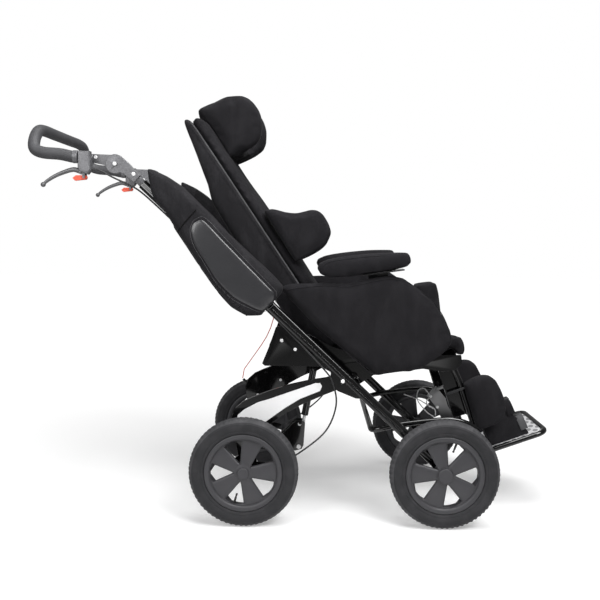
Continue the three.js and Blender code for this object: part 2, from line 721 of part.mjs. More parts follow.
function rimRing() {
  const seatHalf = RIM_SEAT_WIDTH / 2;
  const half = RIM_WIDTH / 2;
  const lipInner = seatHalf + RIM_LIP_WIDTH + TOUCH_GAP;
  const profile = [
    [RIM_INNER_RADIUS, -half + 2 * RIM_LIP_WIDTH],
    [RIM_FLANGE_RADIUS - RIM_LIP_WIDTH, -half],
    [RIM_FLANGE_RADIUS, -lipInner],
    [RIM_SEAT_RADIUS, -seatHalf - TOUCH_GAP],
  ];
  const mirrored = profile.map(([radius, y]) => [radius, -y]).reverse();
  return turned([...profile, ...mirrored, profile[0]], WHEEL_SEGMENTS);
}

// The opening between two spokes, with a curved outer edge and clipped corners.
function spokeOpening() {
  const inner = radians(SPOKE_GAP_INNER_ANGLE / 2);
  const outer = radians(SPOKE_GAP_OUTER_ANGLE / 2);
  const polar = (radius, angle) => [radius * Math.cos(angle), radius * Math.sin(angle)];
  const shortOuter = SPOKE_GAP_OUTER_RADIUS - RIM_LIP_WIDTH;
  return [
    polar(SPOKE_GAP_INNER_RADIUS, -inner),
    polar(shortOuter, -outer),
    polar(SPOKE_GAP_OUTER_RADIUS, -outer * 0.75),
    polar(SPOKE_GAP_OUTER_RADIUS, outer * 0.75),
    polar(shortOuter, outer),
    polar(SPOKE_GAP_INNER_RADIUS, inner),
  ];
}

// The web is dished: it leans outboard from the rim to the hub.
function spokeWeb() {
  const low = WEB_OFFSET - WEB_THICKNESS / 2;
  const high = WEB_OFFSET + WEB_THICKNESS / 2;
  let web = turned([
    [HUB_RADIUS - 2 * WELD_SINK, low + CAP_HEIGHT],
    [RIM_INNER_RADIUS + WELD_SINK, low],
    [RIM_INNER_RADIUS + WELD_SINK, high],
    [HUB_RADIUS - 2 * WELD_SINK, high + CAP_HEIGHT],
    [HUB_RADIUS - 2 * WELD_SINK, low + CAP_HEIGHT],
  ], WHEEL_SEGMENTS);
  const cutter = plate(spokeOpening(), low - CUT_OVERRUN, high + CAP_HEIGHT + CUT_OVERRUN);
  for (let index = 0; index < SPOKE_COUNT; index += 1) {
    const turn = (360 / SPOKE_COUNT) * (index + 0.5);
    web = web.subtract(cutter.rotate([0, turn, 0]));
  }
  return web;
}

// The wheel's outer side faces +Y here. The valve stands in the opening that is lowest.
function rim(capRadius, turn) {
  const hub = pin(HUB_RADIUS, -HUB_INNER_REACH, HUB_OUTER_REACH);
  const cap = pin(capRadius, HUB_OUTER_REACH - WELD_SINK, HUB_OUTER_REACH + CAP_HEIGHT);
  const hole = bore(AXLE_RADIUS, -HUB_INNER_REACH - CUT_OVERRUN, AXLE_REACH + TOUCH_GAP);
  const valveFoot = RIM_INNER_RADIUS + WELD_SINK;
  const lean = radians(180 / SPOKE_COUNT);
  const radial = (distance) => point(distance * Math.cos(lean), 0, distance * Math.sin(lean));
  const valve = tube([radial(valveFoot), radial(valveFoot - VALVE_LENGTH)], VALVE_RADIUS, 6);
  const spokes = join(spokeWeb(), valve).rotate([0, turn, 0]);
  return join(rimRing(), spokes, hub, cap).subtract(hole);
}

function addWheel(parent, label, side, axleX, capRadius, turn) {
  const wheel = frameAt(parent, [axleX, WHEEL_RADIUS]);
  wheel.position.y = side * (TRACK / 2);
  const facing = side > 0 ? 0 : 180;
  add(wheel, `${label}_tyre`, tyre(), tyreRubber);
  add(wheel, `${label}_rim`, rim(capRadius, turn).rotate([facing, 0, 0]), wheelPlastic);
}

function addWheels(model) {
  const rearAxleX = FRONT_AXLE_X - WHEELBASE;
  sides.forEach(([name, side]) => {
    addWheel(model, `rear_wheel_${name}`, side, rearAxleX, REAR_CAP_RADIUS, REAR_WHEEL_TURN);
    addWheel(model, `front_wheel_${name}`, side, FRONT_AXLE_X, FRONT_CAP_RADIUS, FRONT_WHEEL_TURN);
  });
}

// Chassis

// The rail's section [y, z]: an oval tube with a shallow groove down each face.
function railSection(clearance = 0) {
  const half = RAIL_WIDTH / 2 + clearance;
  const floor = half - RAIL_GROOVE_DEPTH;
  const groove = RAIL_GROOVE_WIDTH / 2;
  const outline = roundedRectangle(RAIL_WIDTH + 2 * clearance, RAIL_DEPTH + 2 * clearance, RAIL_CORNER);
  const quarter = outline.length / 4;
  const right = [[half, -groove], [floor, -groove / 2], [floor, groove / 2], [half, groove]];
  const left = right.map(([y, z]) => [-y, -z]);
  return [...right, ...outline.slice(0, 2 * quarter), ...left, ...outline.slice(2 * quarter)];
}

// The rail lies along -X of its own frame, from the front axle up to the handle.
function rail(side) {
  const profile = bar(railSection(), -RAIL_LENGTH, -RAIL_FOOT_START);
  const hollow = bar(
    roundedRectangle(RAIL_WIDTH - 2 * RAIL_WALL, RAIL_DEPTH - 2 * RAIL_WALL, RAIL_CORNER - RAIL_WALL, 2),
    -RAIL_LENGTH - CUT_OVERRUN,
    -RAIL_LENGTH + RAIL_BORE_LENGTH,
  );
  const inner = -RAIL_WIDTH / 2;
  const outer = RAIL_WIDTH / 2;
  const foot = plate([
    ...arc(RAIL_FOOT_RADIUS, -RAIL_FOOT_ANGLE, RAIL_FOOT_ANGLE, 11),
    [-RAIL_FOOT_START - RAIL_FOOT_RADIUS, RAIL_DEPTH / 3],
    [-RAIL_FOOT_START - RAIL_FOOT_RADIUS, -RAIL_DEPTH / 3],
  ], inner, outer);
  const stub = side * (RAIL_WIDTH / 2 - WELD_SINK);
  const tip = side * (TRACK / 2 + AXLE_REACH - RAIL_MIDDLE);
  const axle = pin(AXLE_RADIUS, stub, tip);
  const pivotHole = bore(
    PIVOT_BOLT_RADIUS,
    inner - CUT_OVERRUN,
    outer + CUT_OVERRUN,
    -PIVOT_ALONG,
    -PIVOT_BELOW,
  );
  return join(profile, foot, gusset(), axle).subtract(hollow).subtract(pivotHole);
}

const GUSSET_SHARES = [[1, 0], [0.85, 0.5], [0.7, 0.98], [0.5, 1], [0.12, 0.55], [0, 0]];

function gusset() {
  const top = -RAIL_DEPTH / 2 + WELD_SINK * 2;
  const outline = GUSSET_SHARES.map(([along, down]) => [
    -GUSSET_START - along * GUSSET_LENGTH,
    down > 0 ? -down * GUSSET_DROP : top,
  ]);
  return plate(outline, -GUSSET_THICKNESS / 2, GUSSET_THICKNESS / 2);
}

// The cross tube between the rails that the seat tilts on, with a flange at each rail.
function tiltAxle() {
  const end = RAIL_INNER_FACE - TOUCH_GAP;
  const flange = (side) => pin(TILT_FLANGE_RADIUS, side * (end - TILT_FLANGE_THICKNESS), side * end);
  return join(pin(TILT_AXLE_RADIUS, -end, end), flange(-1), flange(1));
}

// A bent tube: its two arms rise to the front, and a cross run joins them at the rear.
const HOOP_ARM_SHARES = [[0, 0], [0.22, 0.48], [0.55, 0.84], [0.8, 1], [0.94, 0.62], [1, 0.26]];

function frontHoop() {
  const reach = RAIL_INNER_FACE - HOOP_RADIUS - TOUCH_GAP;
  const [rearX, rearZ] = onRail(HOOP_REAR_ALONG, -HOOP_REAR_BELOW);
  const arm = scaled(HOOP_ARM_SHARES, HOOP_LENGTH, HOOP_RISE, rearX, rearZ);
  const near = arm.map(([x, z]) => point(x, -reach, z)).reverse();
  const far = arm.map(([x, z]) => point(x, reach, z));
  return tube(bentPath([...near, ...far], HOOP_CORNER, 2), HOOP_RADIUS);
}

// Shares along the rail and square to it, from the cover's lower end.
const COVER_SHARES = [
  [1, 0.3], [0.91, 0.02], [0.867, -0.06], [0.736, -0.127], [0.563, -0.267], [0.426, -0.387],
  [0.279, -0.48], [0.148, -0.513], [0.059, -0.433], [0, -0.24], [-0.002, 0.2], [0.012, 0.38],
  [0.03, 0.43], [0.3, 0.46], [0.572, 0.493], [0.701, 0.48], [0.791, 0.487], [0.898, 0.42],
];

function railCover(side) {
  const outline = COVER_SHARES.map(([along, above]) => [
    -COVER_START - along * COVER_LENGTH,
    above * COVER_DEPTH,
  ]);
  const body = padded(outline, -side * COVER_INNER_REACH, side * COVER_OUTER_REACH, COVER_BEVEL);
  const from = -COVER_START - COVER_LENGTH - CUT_OVERRUN;
  const to = -COVER_START + CUT_OVERRUN + COVER_BEVEL;
  const tunnel = bar(roundedRectangle(
    RAIL_WIDTH + 2 * SLIDE_GAP,
    RAIL_DEPTH + 2 * SLIDE_GAP,
    RAIL_CORNER,
  ), from, to);
  const channelTop = -RAIL_DEPTH / 2 + WELD_SINK;
  const channel = block(
    from,
    to,
    -CABLE_CHANNEL_WIDTH / 2,
    CABLE_CHANNEL_WIDTH / 2,
    channelTop - WELD_SINK - CABLE_CHANNEL_DEPTH,
    channelTop,
  );
  return body.subtract(tunnel).subtract(channel);
}

function brakeCableRoute(side) {
  const place = (joint) => ([along, below, outboard]) => {
    const [x, z] = onRail(joint + along, -below);
    return point(x, side * (RAIL_MIDDLE + outboard), z);
  };
  const close = RAIL_DEPTH / 2 + CABLE_RADIUS + TOUCH_GAP * 3;
  const rise = Array.from({ length: 5 }, (_, index) => (
    place(RAIL_LENGTH)([-(index + 1) * 4 * RAIL_DEPTH, close, 0])
  ));
  const lever = [FRONT_AXLE_X - WHEELBASE + DRUM_LEVER_LENGTH, WHEEL_RADIUS];
  const y = side * (drumInnerFace() + DRUM_LEVER_THICKNESS + CABLE_RADIUS + TOUCH_GAP);
  return [
    ...CABLE_TOP_RUN.map(place(JOINT_ALONG)),
    ...rise,
    ...CABLE_LOW_RUN.map(place(PIVOT_ALONG)),
    point(lever[0] + DRUM_LEVER_WIDTH, y, lever[1] + DRUM_LEVER_WIDTH / 2),
    point(lever[0] - DRUM_LEVER_WIDTH / 2, y, lever[1]),
  ];
}

const drumInnerFace = () => ARM_OUTER_FACE + TOUCH_GAP;

// Shares of the way down to the latch and inboard to it, and of the height as a bow to the front.
const PULL_CORD_SHARES = [[0, 0, 0], [0.22, 0, 0.09], [0.45, 0, 0.1], [0.72, 0.5, 0.03], [0.93, 1, -0.03], [1, 1, 0]];

// The red cord that frees the fold latch, from the far rail cover to the latch post.
function pullCord(end) {
  const [startX, startZ] = onRail(COVER_START - TOUCH_GAP - CORD_RADIUS, -RAIL_DEPTH);
  const height = startZ - end.z;
  const route = PULL_CORD_SHARES.map(([down, inboard, bow]) => point(
    startX + (end.x - startX) * down + bow * height,
    RAIL_MIDDLE + (end.y - RAIL_MIDDLE) * inboard,
    startZ - height * down,
  ));
  return routedTube(route, CORD_RADIUS, 9);
}

function addChassis(model, latchTop) {
  sides.forEach(([name, side]) => {
    const frame = frameAt(model, [FRONT_AXLE_X, WHEEL_RADIUS], -RAIL_ANGLE);
    frame.position.y = side * RAIL_MIDDLE;
    add(frame, `rail_${name}`, rail(side), blackFrame);
    add(frame, `rail_cover_${name}`, railCover(side), fabric);
    add(model, `brake_cable_${name}`, routedTube(brakeCableRoute(side), CABLE_RADIUS, CABLE_STEPS), cableBlack);
  });
  const tilt = frameAt(model, onRail(TILT_ALONG, TILT_ABOVE));
  add(tilt, 'tilt_axle', tiltAxle(), blackFrame);
  add(model, 'front_hoop', frontHoop(), blackFrame);
  add(model, 'pull_cord', pullCord(latchTop), redPlastic);
}

// Rear frame, in a frame at the fold pivot whose -X axis points to the rear axle

// Shares of the distance to the axle, and of the arm's width.
const ARM_SHARES = [
  [0.016, 0.15], [0.09, 0.255], [0.186, 0.42], [0.324, 0.62], [0.486, 0.807], [0.6, 0.92],
  [0.68, 0.986], [0.762, 0.986], [0.829, 0.897], [0.9, 0.64], [0.97, 0.33], [1.045, 0.07],
  [1.05, -0.04], [1.03, -0.11], [1, -0.135], [0.96, -0.09], [0.9, 0.1], [0.8, 0.26],
  [0.664, 0.297], [0.502, 0.248], [0.374, 0.172], [0.178, 0.007], [0.093, -0.076], [0.03, -0.112],
];
const PANEL_SHARES = [
  [0.83, 0.6], [0.815, 0.78], [0.783, 0.85], [0.717, 0.85], [0.6, 0.775], [0.513, 0.67], [0.324, 0.469],
  [0.17, 0.3], [0.145, 0.24], [0.15, 0.17], [0.186, 0.124], [0.34, 0.269], [0.473, 0.331],
  [0.643, 0.38], [0.8, 0.42],
];

function armOutline(reach) {
  const eye = arc(ARM_EYE_RADIUS, -ARM_EYE_ANGLE, ARM_EYE_ANGLE, 9);
  return [...eye, ...ARM_SHARES.map(([along, up]) => [-along * reach, up * ARM_WIDTH])];
}

function rearArm(side, reach) {
  const outer = side * ARM_OUTER_FACE;
  const inner = side * ARM_INNER_FACE;
  const body = plate(armOutline(reach), inner, outer);
  const recess = plate(
    inflate(panelOutline(reach), TOUCH_GAP),
    side * (ARM_OUTER_FACE - PANEL_RECESS),
    side * (ARM_OUTER_FACE + CUT_OVERRUN),
  );
  const axleHole = bore(
    AXLE_RADIUS,
    side * (ARM_INNER_FACE - CUT_OVERRUN),
    side * (ARM_OUTER_FACE + CUT_OVERRUN),
    -reach,
    0,
  );
  const railOuter = RAIL_MIDDLE + RAIL_WIDTH / 2 + TOUCH_GAP;
  const bolt = pin(PIVOT_BOLT_RADIUS, side * (ARM_OUTER_FACE - WELD_SINK), side * (railOuter + WELD_SINK));
  const head = pin(PIVOT_HEAD_RADIUS, side * railOuter, side * (railOuter + PIVOT_HEAD_HEIGHT));
  return join(body.subtract(recess).subtract(axleHole), bolt, head);
}

function panelOutline(reach) {
  return scaled(PANEL_SHARES, -reach, ARM_WIDTH);
}

function armPanel(side, reach) {
  const floor = side * (ARM_OUTER_FACE - PANEL_RECESS + TOUCH_GAP);
  return plate(panelOutline(reach), floor, floor + side * PANEL_THICKNESS);
}

// Shares of the plates' length and height, from the rear axle to the strut's foot.
const STRUT_PLATE_SHARES = [
  [-0.1, -0.2], [0.72, -0.2], [0.93, -0.24], [1.06, -0.16], [1.1, 0], [1.13, 0.95],
  [1.06, 1.05], [0.94, 1.05], [0.86, 0.92], [0.58, 0.35], [0.4, 0.22], [-0.1, 0.2],
];

// The beam, its stub axles, drum brakes and the plates that hold the strut's foot.
// It lies in a frame at the rear axle that stays level.
function rearAxle() {
  const beamEnd = ARM_INNER_FACE - TOUCH_GAP;
  const drumInner = drumInnerFace();
  const axleTip = TRACK / 2 + AXLE_REACH;
  let axle = pin(BEAM_RADIUS, -beamEnd, beamEnd);
  axle = axle.add(pin(AXLE_RADIUS, -axleTip, axleTip));
  sides.forEach(([, side]) => {
    const drumOuter = drumInner + DRUM_THICKNESS;
    axle = axle.add(pin(DRUM_RADIUS, side * drumInner, side * drumOuter, 0, 0, 16));
    const lever = [
      [0, DRUM_LEVER_WIDTH],
      [0, -DRUM_LEVER_WIDTH],
      [DRUM_LEVER_LENGTH - DRUM_LEVER_WIDTH / 2, -DRUM_LEVER_WIDTH / 2],
      [DRUM_LEVER_LENGTH, 0],
      [DRUM_LEVER_LENGTH - DRUM_LEVER_WIDTH / 2, DRUM_LEVER_WIDTH / 2],
    ];
    axle = axle.add(plate(lever, side * drumInner, side * (drumInner + DRUM_LEVER_THICKNESS)));
    const plateInner = side * (STRUT_LUG_GAP / 2);
    const plateOuter = side * (STRUT_LUG_GAP / 2 + STRUT_LUG_THICKNESS);
    const outline = scaled(STRUT_PLATE_SHARES, STRUT_FOOT_FORWARD, STRUT_PLATE_HEIGHT);
    axle = axle.add(plate(outline, plateInner, plateOuter));
  });
  const pinEnd = STRUT_LUG_GAP / 2 + STRUT_LUG_THICKNESS + BOLT_HEAD_HEIGHT;
  const foot = pin(STRUT_PIN_RADIUS, -pinEnd, pinEnd, STRUT_FOOT_FORWARD, -STRUT_FOOT_DROP);
  const stays = sides.map(([, side]) => pin(
    STRUT_PIN_RADIUS,
    side * (STRUT_LUG_GAP / 2 + STRUT_LUG_THICKNESS - WELD_SINK),
    side * pinEnd,
    STRUT_FOOT_FORWARD + STRUT_LUG_THICKNESS,
    STRUT_PLATE_HEIGHT - STRUT_FOOT_DROP,
  ));
  return join(axle, foot, ...stays);
}

// The latch post stands on the far arm's upper edge, where the pull cord ends.
const LATCH_ALONG_SHARE = 0.8;
const LATCH_UP_SHARE = 0.93;

function addRearFrame(model) {
  const pivot = onRail(PIVOT_ALONG, -PIVOT_BELOW);
  const axle = [FRONT_AXLE_X - WHEELBASE, WHEEL_RADIUS];
  const reach = Math.hypot(pivot[0] - axle[0], pivot[1] - axle[1]);
  const slope = THREE.MathUtils.radToDeg(Math.atan2(pivot[1] - axle[1], pivot[0] - axle[0]));
  const frame = frameAt(model, pivot, slope);
  const middle = (ARM_INNER_FACE + ARM_OUTER_FACE) / 2;
  const latchFoot = [-LATCH_ALONG_SHARE * reach, LATCH_UP_SHARE * ARM_WIDTH - CUT_OVERRUN];
  const latchTop = point(latchFoot[0], middle, latchFoot[1] + LATCH_POST_HEIGHT);
  const post = tube([point(latchFoot[0], middle, latchFoot[1]), latchTop], LATCH_POST_RADIUS, CORD_SIDES);
  sides.forEach(([name, side]) => {
    const arm = rearArm(side, reach);
    add(frame, `rear_arm_${name}`, side > 0 ? arm.add(post) : arm, blackFrame);
    add(frame, `arm_panel_${name}`, armPanel(side, reach), panelWhite);
  });
  add(frameAt(model, axle), 'rear_axle', rearAxle(), blackFrame);
  model.updateMatrixWorld(true);
  return latchTop.setZ(latchTop.z + 2 * CORD_RADIUS).applyMatrix4(frame.matrixWorld);
}

// Tilt strut, in a frame at its foot whose +Z axis runs along it

function strutLine() {
  const foot = [FRONT_AXLE_X - WHEELBASE + STRUT_FOOT_FORWARD, WHEEL_RADIUS - STRUT_FOOT_DROP];
  const tilt = onRail(TILT_ALONG, TILT_ABOVE);
  const angle = radians(SEAT_ANGLE);
  const head = [
    tilt[0] - STRUT_HEAD_BACK * Math.cos(angle) - STRUT_HEAD_RISE * Math.sin(angle),
    tilt[1] - STRUT_HEAD_BACK * Math.sin(angle) + STRUT_HEAD_RISE * Math.cos(angle),
  ];
  const length = Math.hypot(head[0] - foot[0], head[1] - foot[1]);
  const lean = THREE.MathUtils.radToDeg(Math.atan2(head[0] - foot[0], head[1] - foot[1]));
  return { foot, length, lean };
}

function upright(radius, from, to, count = PIN_SIDES) {
  return tube([point(0, 0, from), point(0, 0, to)], radius, count);
}

function addStrut(model) {
  const { foot, length, lean } = strutLine();
  const frame = frameAt(model, foot, -lean);
  const eyeHalf = STRUT_LUG_GAP / 2 - 2 * SLIDE_GAP;
  const eyeHole = bore(STRUT_PIN_RADIUS, -eyeHalf - CUT_OVERRUN, eyeHalf + CUT_OVERRUN);
  const rod = join(
    pin(STRUT_EYE_RADIUS, -eyeHalf, eyeHalf),
    upright(STRUT_ROD_RADIUS, 0, STRUT_ROD_LENGTH),
  ).subtract(eyeHole);
  add(frame, 'strut_rod', rod, steel);
  const cylinder = join(
    pin(STRUT_EYE_RADIUS, -eyeHalf, eyeHalf, 0, length),
    upright(STRUT_CYLINDER_RADIUS, STRUT_CYLINDER_START, length - STRUT_EYE_RADIUS + WELD_SINK),
  );
  const hollow = upright(
    STRUT_ROD_RADIUS + SLIDE_GAP,
    STRUT_CYLINDER_START - CUT_OVERRUN,
    length - 2 * STRUT_EYE_RADIUS,
  );
  add(frame, 'strut_cylinder', cylinder.subtract(hollow), blackFrame);
}

// Seat

// Shares of the side plate's length and height, from its rear end and the tilt axle.
const SIDE_PLATE_SHARES = [
  [0, 0.4], [0.012, 0.36], [0.29, 0.245], [0.35, 0.12], [0.425, -0.085], [0.475, -0.085],
  [0.55, 0.02], [0.8, 0.02], [0.9, -0.06], [0.96, -0.06], [1, 0.02], [1, 0.15], [0.72, 0.24],
];
const SIDE_PLATE_REAR_SHARES = [
  [0.6, 0.3], [0.48, 0.34], [0.36, 0.52], [0.2, 0.84], [0.16, 0.93], [0.093, 0.9], [0.05, 0.65],
];

function sidePlateOutline() {
  const rear = PAN_FRONT - SIDE_PLATE_LENGTH;
  const front = scaled(SIDE_PLATE_SHARES, SIDE_PLATE_LENGTH, SIDE_PLATE_HEIGHT, rear);
  const tab = [
    [ARM_POST_FORWARD + 1.4 * ARM_POST_WIDTH, ARM_TAB_HEIGHT],
    [ARM_POST_FORWARD - 0.4 * ARM_POST_WIDTH, ARM_TAB_HEIGHT],
  ];
  return [...front, ...tab, ...scaled(SIDE_PLATE_REAR_SHARES, SIDE_PLATE_LENGTH, SIDE_PLATE_HEIGHT, rear)];
}

const RECLINE_BOLT_SHARES = [[0.114, 0.7], [0.176, 0.545]];
const GUARD_SPACER_SHARES = [[0.555, 0.2], [0.823, 0.145]];

function sidePlate(side) {
  const outer = side * SIDE_PLATE_OUTER;
  const rear = PAN_FRONT - SIDE_PLATE_LENGTH;
  let body = plate(sidePlateOutline(), side * PAN_HALF_WIDTH, outer);
  scaled(GUARD_SPACER_SHARES, SIDE_PLATE_LENGTH, SIDE_PLATE_HEIGHT, rear).forEach(([x, z]) => {
    const end = side * (GUARD_INNER_FACE - TOUCH_GAP);
    body = body.add(pin(GUARD_SPACER_RADIUS, outer - side * WELD_SINK, end, x, z));
  });
  scaled(RECLINE_BOLT_SHARES, SIDE_PLATE_LENGTH, SIDE_PLATE_HEIGHT, rear).forEach(([x, z]) => {
    const end = outer + side * BOLT_HEAD_HEIGHT;
    body = body.add(pin(BOLT_HEAD_RADIUS, outer - side * WELD_SINK, end, x, z, 6));
  });
  return body;
}

// The pan is full width behind the knees and narrow between the knee pivots.
function pan() {
  const narrow = KNEE_BRACKET_REACH - KNEE_BRACKET_THICKNESS + WELD_SINK;
  const waist = KNEE_FORWARD - PAN_WAIST;
  const half = PAN_HALF_WIDTH + WELD_SINK;
  const outline = [
    [-PAN_REAR, -half], [waist, -half], [waist, -narrow], [PAN_FRONT, -narrow],
    [PAN_FRONT, narrow], [waist, narrow], [waist, half], [-PAN_REAR, half],
  ];
  return slab(outline, PAN_HEIGHT, PAN_HEIGHT + PAN_THICKNESS);
}

// Two lugs under the pan's rear edge. The strut's upper eye lies between them.
const LUG_ARC_ANGLES = [100, 290]; // degrees round the eye

function strutLugs() {
  const eye = [-STRUT_HEAD_BACK, STRUT_HEAD_RISE];
  const root = -PAN_REAR + 2 * STRUT_EYE_RADIUS;
  const outline = [
    [root, PAN_HEIGHT + WELD_SINK],
    [root, PAN_HEIGHT + PAN_THICKNESS - WELD_SINK],
    [-PAN_REAR - STRUT_EYE_RADIUS, PAN_HEIGHT + PAN_THICKNESS - WELD_SINK],
    ...arc(STRUT_EYE_RADIUS + WELD_SINK, ...LUG_ARC_ANGLES, 8, ...eye),
  ];
  return sides.map(([, side]) => {
    const inner = side * (STRUT_LUG_GAP / 2);
    const outer = inner + side * STRUT_LUG_THICKNESS;
    const head = pin(
      STRUT_PIN_RADIUS,
      outer - side * WELD_SINK,
      outer + side * BOLT_HEAD_HEIGHT,
      ...eye,
    );
    return plate(outline, inner, outer).add(head);
  });
}

// Shares of the bracket's reach round the knee pivot.
const KNEE_BRACKET_SHARES = [
  [-3.2, 0.9], [-1.2, -0.7], [-0.5, -0.95], [0.4, -0.95], [0.9, -0.5], [1, 0.3],
];

function kneeBracket(side) {
  const outer = side * KNEE_BRACKET_REACH;
  const lower = scaled(
    KNEE_BRACKET_SHARES,
    KNEE_DISC_RADIUS,
    KNEE_DISC_RADIUS,
    KNEE_FORWARD,
    KNEE_HEIGHT,
  );
  const top = PAN_HEIGHT + PAN_THICKNESS - WELD_SINK;
  const outline = [...lower, [KNEE_FORWARD + 0.9 * KNEE_DISC_RADIUS, top], [lower[0][0], top]];
  return plate(outline, outer - side * KNEE_BRACKET_THICKNESS, outer);
}

// A guide on the side plate that the armrest post slides in.
function armSocket(side) {
  const slotInner = SIDE_PLATE_OUTER - WELD_SINK / 2;
  const slotOuter = SIDE_PLATE_OUTER + ARM_POST_THICKNESS + 2 * SLIDE_GAP;
  const spread = [side * (SIDE_PLATE_OUTER - WELD_SINK), side * (slotOuter + SOCKET_WALL)];
  const slotSpread = [side * slotInner, side * slotOuter];
  const rear = ARM_POST_FORWARD - SLIDE_GAP;
  const front = ARM_POST_FORWARD + ARM_POST_WIDTH + SLIDE_GAP;
  const wall = 2 * SOCKET_WALL;
  const box = block(
    rear - wall,
    front + wall,
    Math.min(...spread),
    Math.max(...spread),
    ARM_POST_BOTTOM + SOCKET_WALL,
    ARM_TAB_HEIGHT,
  );
  return box.subtract(block(
    rear,
    front,
    Math.min(...slotSpread),
    Math.max(...slotSpread),
    ARM_POST_BOTTOM - CUT_OVERRUN,
    ARM_TAB_HEIGHT + CUT_OVERRUN,
  ));
}

function seatFrame() {
  const end = PAN_HALF_WIDTH + WELD_SINK;
  const rearBar = pin(BOLT_HEAD_RADIUS + BOLT_HEAD_HEIGHT, -end, end, -REAR_BAR_BACK, 0.46 * SIDE_PLATE_HEIGHT);
  const handed = sides.flatMap(([, side]) => [sidePlate(side), kneeBracket(side), armSocket(side)]);
  const body = join(pan(), ...handed, rearBar, ...strutLugs());
  const wide = SIDE_PLATE_OUTER + CUT_OVERRUN;
  const holes = [
    bore(TILT_AXLE_RADIUS, -wide, wide),
    bore(RECLINE_AXLE_RADIUS, -wide, wide, -RECLINE_BACK, RECLINE_HEIGHT),
    ...sides.map(([, side]) => bore(
      KNEE_PIN_RADIUS,
      side * (KNEE_BRACKET_REACH - KNEE_BRACKET_THICKNESS + WELD_SINK),
      side * (KNEE_BRACKET_REACH + CUT_OVERRUN),
      KNEE_FORWARD,
      KNEE_HEIGHT,
    )),
  ];
  return holes.reduce((whole, hole) => whole.subtract(hole), body);
}

// A crowned cushion with a lip that hangs over the pan's front edge.
function seatCushion() {
  const body = cushion([SEAT_LENGTH, 2 * SEAT_HALF_WIDTH, SEAT_THICKNESS], [9, 8], {
    drawShare: 0.02,
    crown: SEAT_CROWN,
    crownSpan: [[-0.95, 0.95], [-0.95, 0.95]],
    edgeInset: SEAT_EDGE_INSET,
    channels: 2,
    channelDepth: SEAT_CHANNEL_DEPTH,
  });
  const bottom = PAN_HEIGHT + PAN_THICKNESS + TOUCH_GAP;
  const placed = body.translate([SEAT_REAR + SEAT_LENGTH / 2, 0, bottom]);
  const front = SEAT_REAR + SEAT_LENGTH;
  const lipTop = bottom + SEAT_THICKNESS / 2;
  const lip = plate(
    [
      [PAN_FRONT + TOUCH_GAP, lipTop],
      [PAN_FRONT + TOUCH_GAP, bottom - SEAT_LIP_DROP],
      [front - 2 * WELD_SINK, bottom - SEAT_LIP_DROP + WELD_SINK],
      [front - WELD_SINK / 3, bottom],
      [front - WELD_SINK, lipTop],
    ],
    -SEAT_HALF_WIDTH + WELD_SINK,
    SEAT_HALF_WIDTH - WELD_SINK,
    WELD_SINK * 2,
    1,
  );
  return placed.add(lip).subtract(pommelStem(SLIDE_GAP, CUT_OVERRUN));
}

// The pommel's stem passes through the cushion down to the pan.
function pommelStem(clearance, overrun) {
  const middle = POMMEL_FRONT - POMMEL_LENGTH / 2;
  const bottom = PAN_HEIGHT + PAN_THICKNESS + TOUCH_GAP;
  return block(
    middle - POMMEL_STEM_LENGTH / 2 - clearance,
    middle + POMMEL_STEM_LENGTH / 2 + clearance,
    -POMMEL_STEM_HALF_WIDTH - clearance,
    POMMEL_STEM_HALF_WIDTH + clearance,
    bottom - overrun,
    bottom + SEAT_THICKNESS + 2 * CUT_OVERRUN + overrun,
  );
}

function pommel() {
  const bottom = PAN_HEIGHT + PAN_THICKNESS + SEAT_THICKNESS + 2 * TOUCH_GAP;
  const rear = POMMEL_FRONT - POMMEL_LENGTH;
  const outline = [
    [rear, bottom], [POMMEL_FRONT, bottom], [POMMEL_FRONT, POMMEL_HEIGHT], [rear, POMMEL_HEIGHT],
  ];
  const body = plate(outline, -POMMEL_HALF_WIDTH, POMMEL_HALF_WIDTH, POMMEL_BEVEL, 2);
  return body.add(pommelStem(0, 0));
}

// Shares of the guard's length and height, from its rear end and the tilt axle's height.
const GUARD_SHARES = [
  [0, 0.954], [0.03, 0.985], [0.08, 1], [0.253, 0.987], [0.411, 0.944], [0.501, 0.96], [0.6, 0.972],
  [0.671, 0.967], [0.752, 0.921], [0.825, 0.816], [0.906, 0.671], [0.957, 0.513], [0.99, 0.368],
  [1, 0.247], [0.945, 0.151], [0.821, 0.039], [0.729, 0], [0.665, 0.007], [0.503, 0],
  [0.462, 0.072], [0.308, 0.329], [0.191, 0.526], [0.08, 0.773],
];

function sideGuard(side) {
  const outline = scaled(GUARD_SHARES, GUARD_LENGTH, GUARD_HEIGHT, -GUARD_REAR);
  const inner = side * GUARD_INNER_FACE;
  return padded(outline, inner, inner + side * GUARD_THICKNESS, GUARD_BEVEL);
}

// Shares of the pad's length and thickness, from its rear lower corner.
const ARM_PAD_SHARES = [
  [0, 0.6], [0.02, 0.83], [0.12, 0.97], [0.28, 1], [0.52, 0.98], [0.75, 0.92], [0.978, 0.8],
  [1, 0.55], [0.998, 0.3], [0.95, 0.12], [0.73, 0.03], [0.49, 0], [0.28, 0], [0.13, 0.07], [0.03, 0.28],
];

function armPad(side) {
  const outline = scaled(ARM_PAD_SHARES, ARM_PAD_LENGTH, ARM_PAD_THICKNESS, -ARM_PAD_REAR, ARM_PAD_BOTTOM);
  const inner = side * SIDE_PLATE_OUTER;
  const body = padded(outline, inner, inner + side * ARM_PAD_WIDTH, ARM_PAD_BEVEL);
  const flangeTop = armFlangeTop() + TOUCH_GAP;
  const cutter = block(
    -ARM_PAD_REAR - ARM_PAD_LENGTH,
    ARM_PAD_LENGTH * 2,
    -RAIL_MIDDLE,
    RAIL_MIDDLE,
    flangeTop - ARM_PAD_THICKNESS,
    flangeTop,
  );
  return body.subtract(cutter);
}

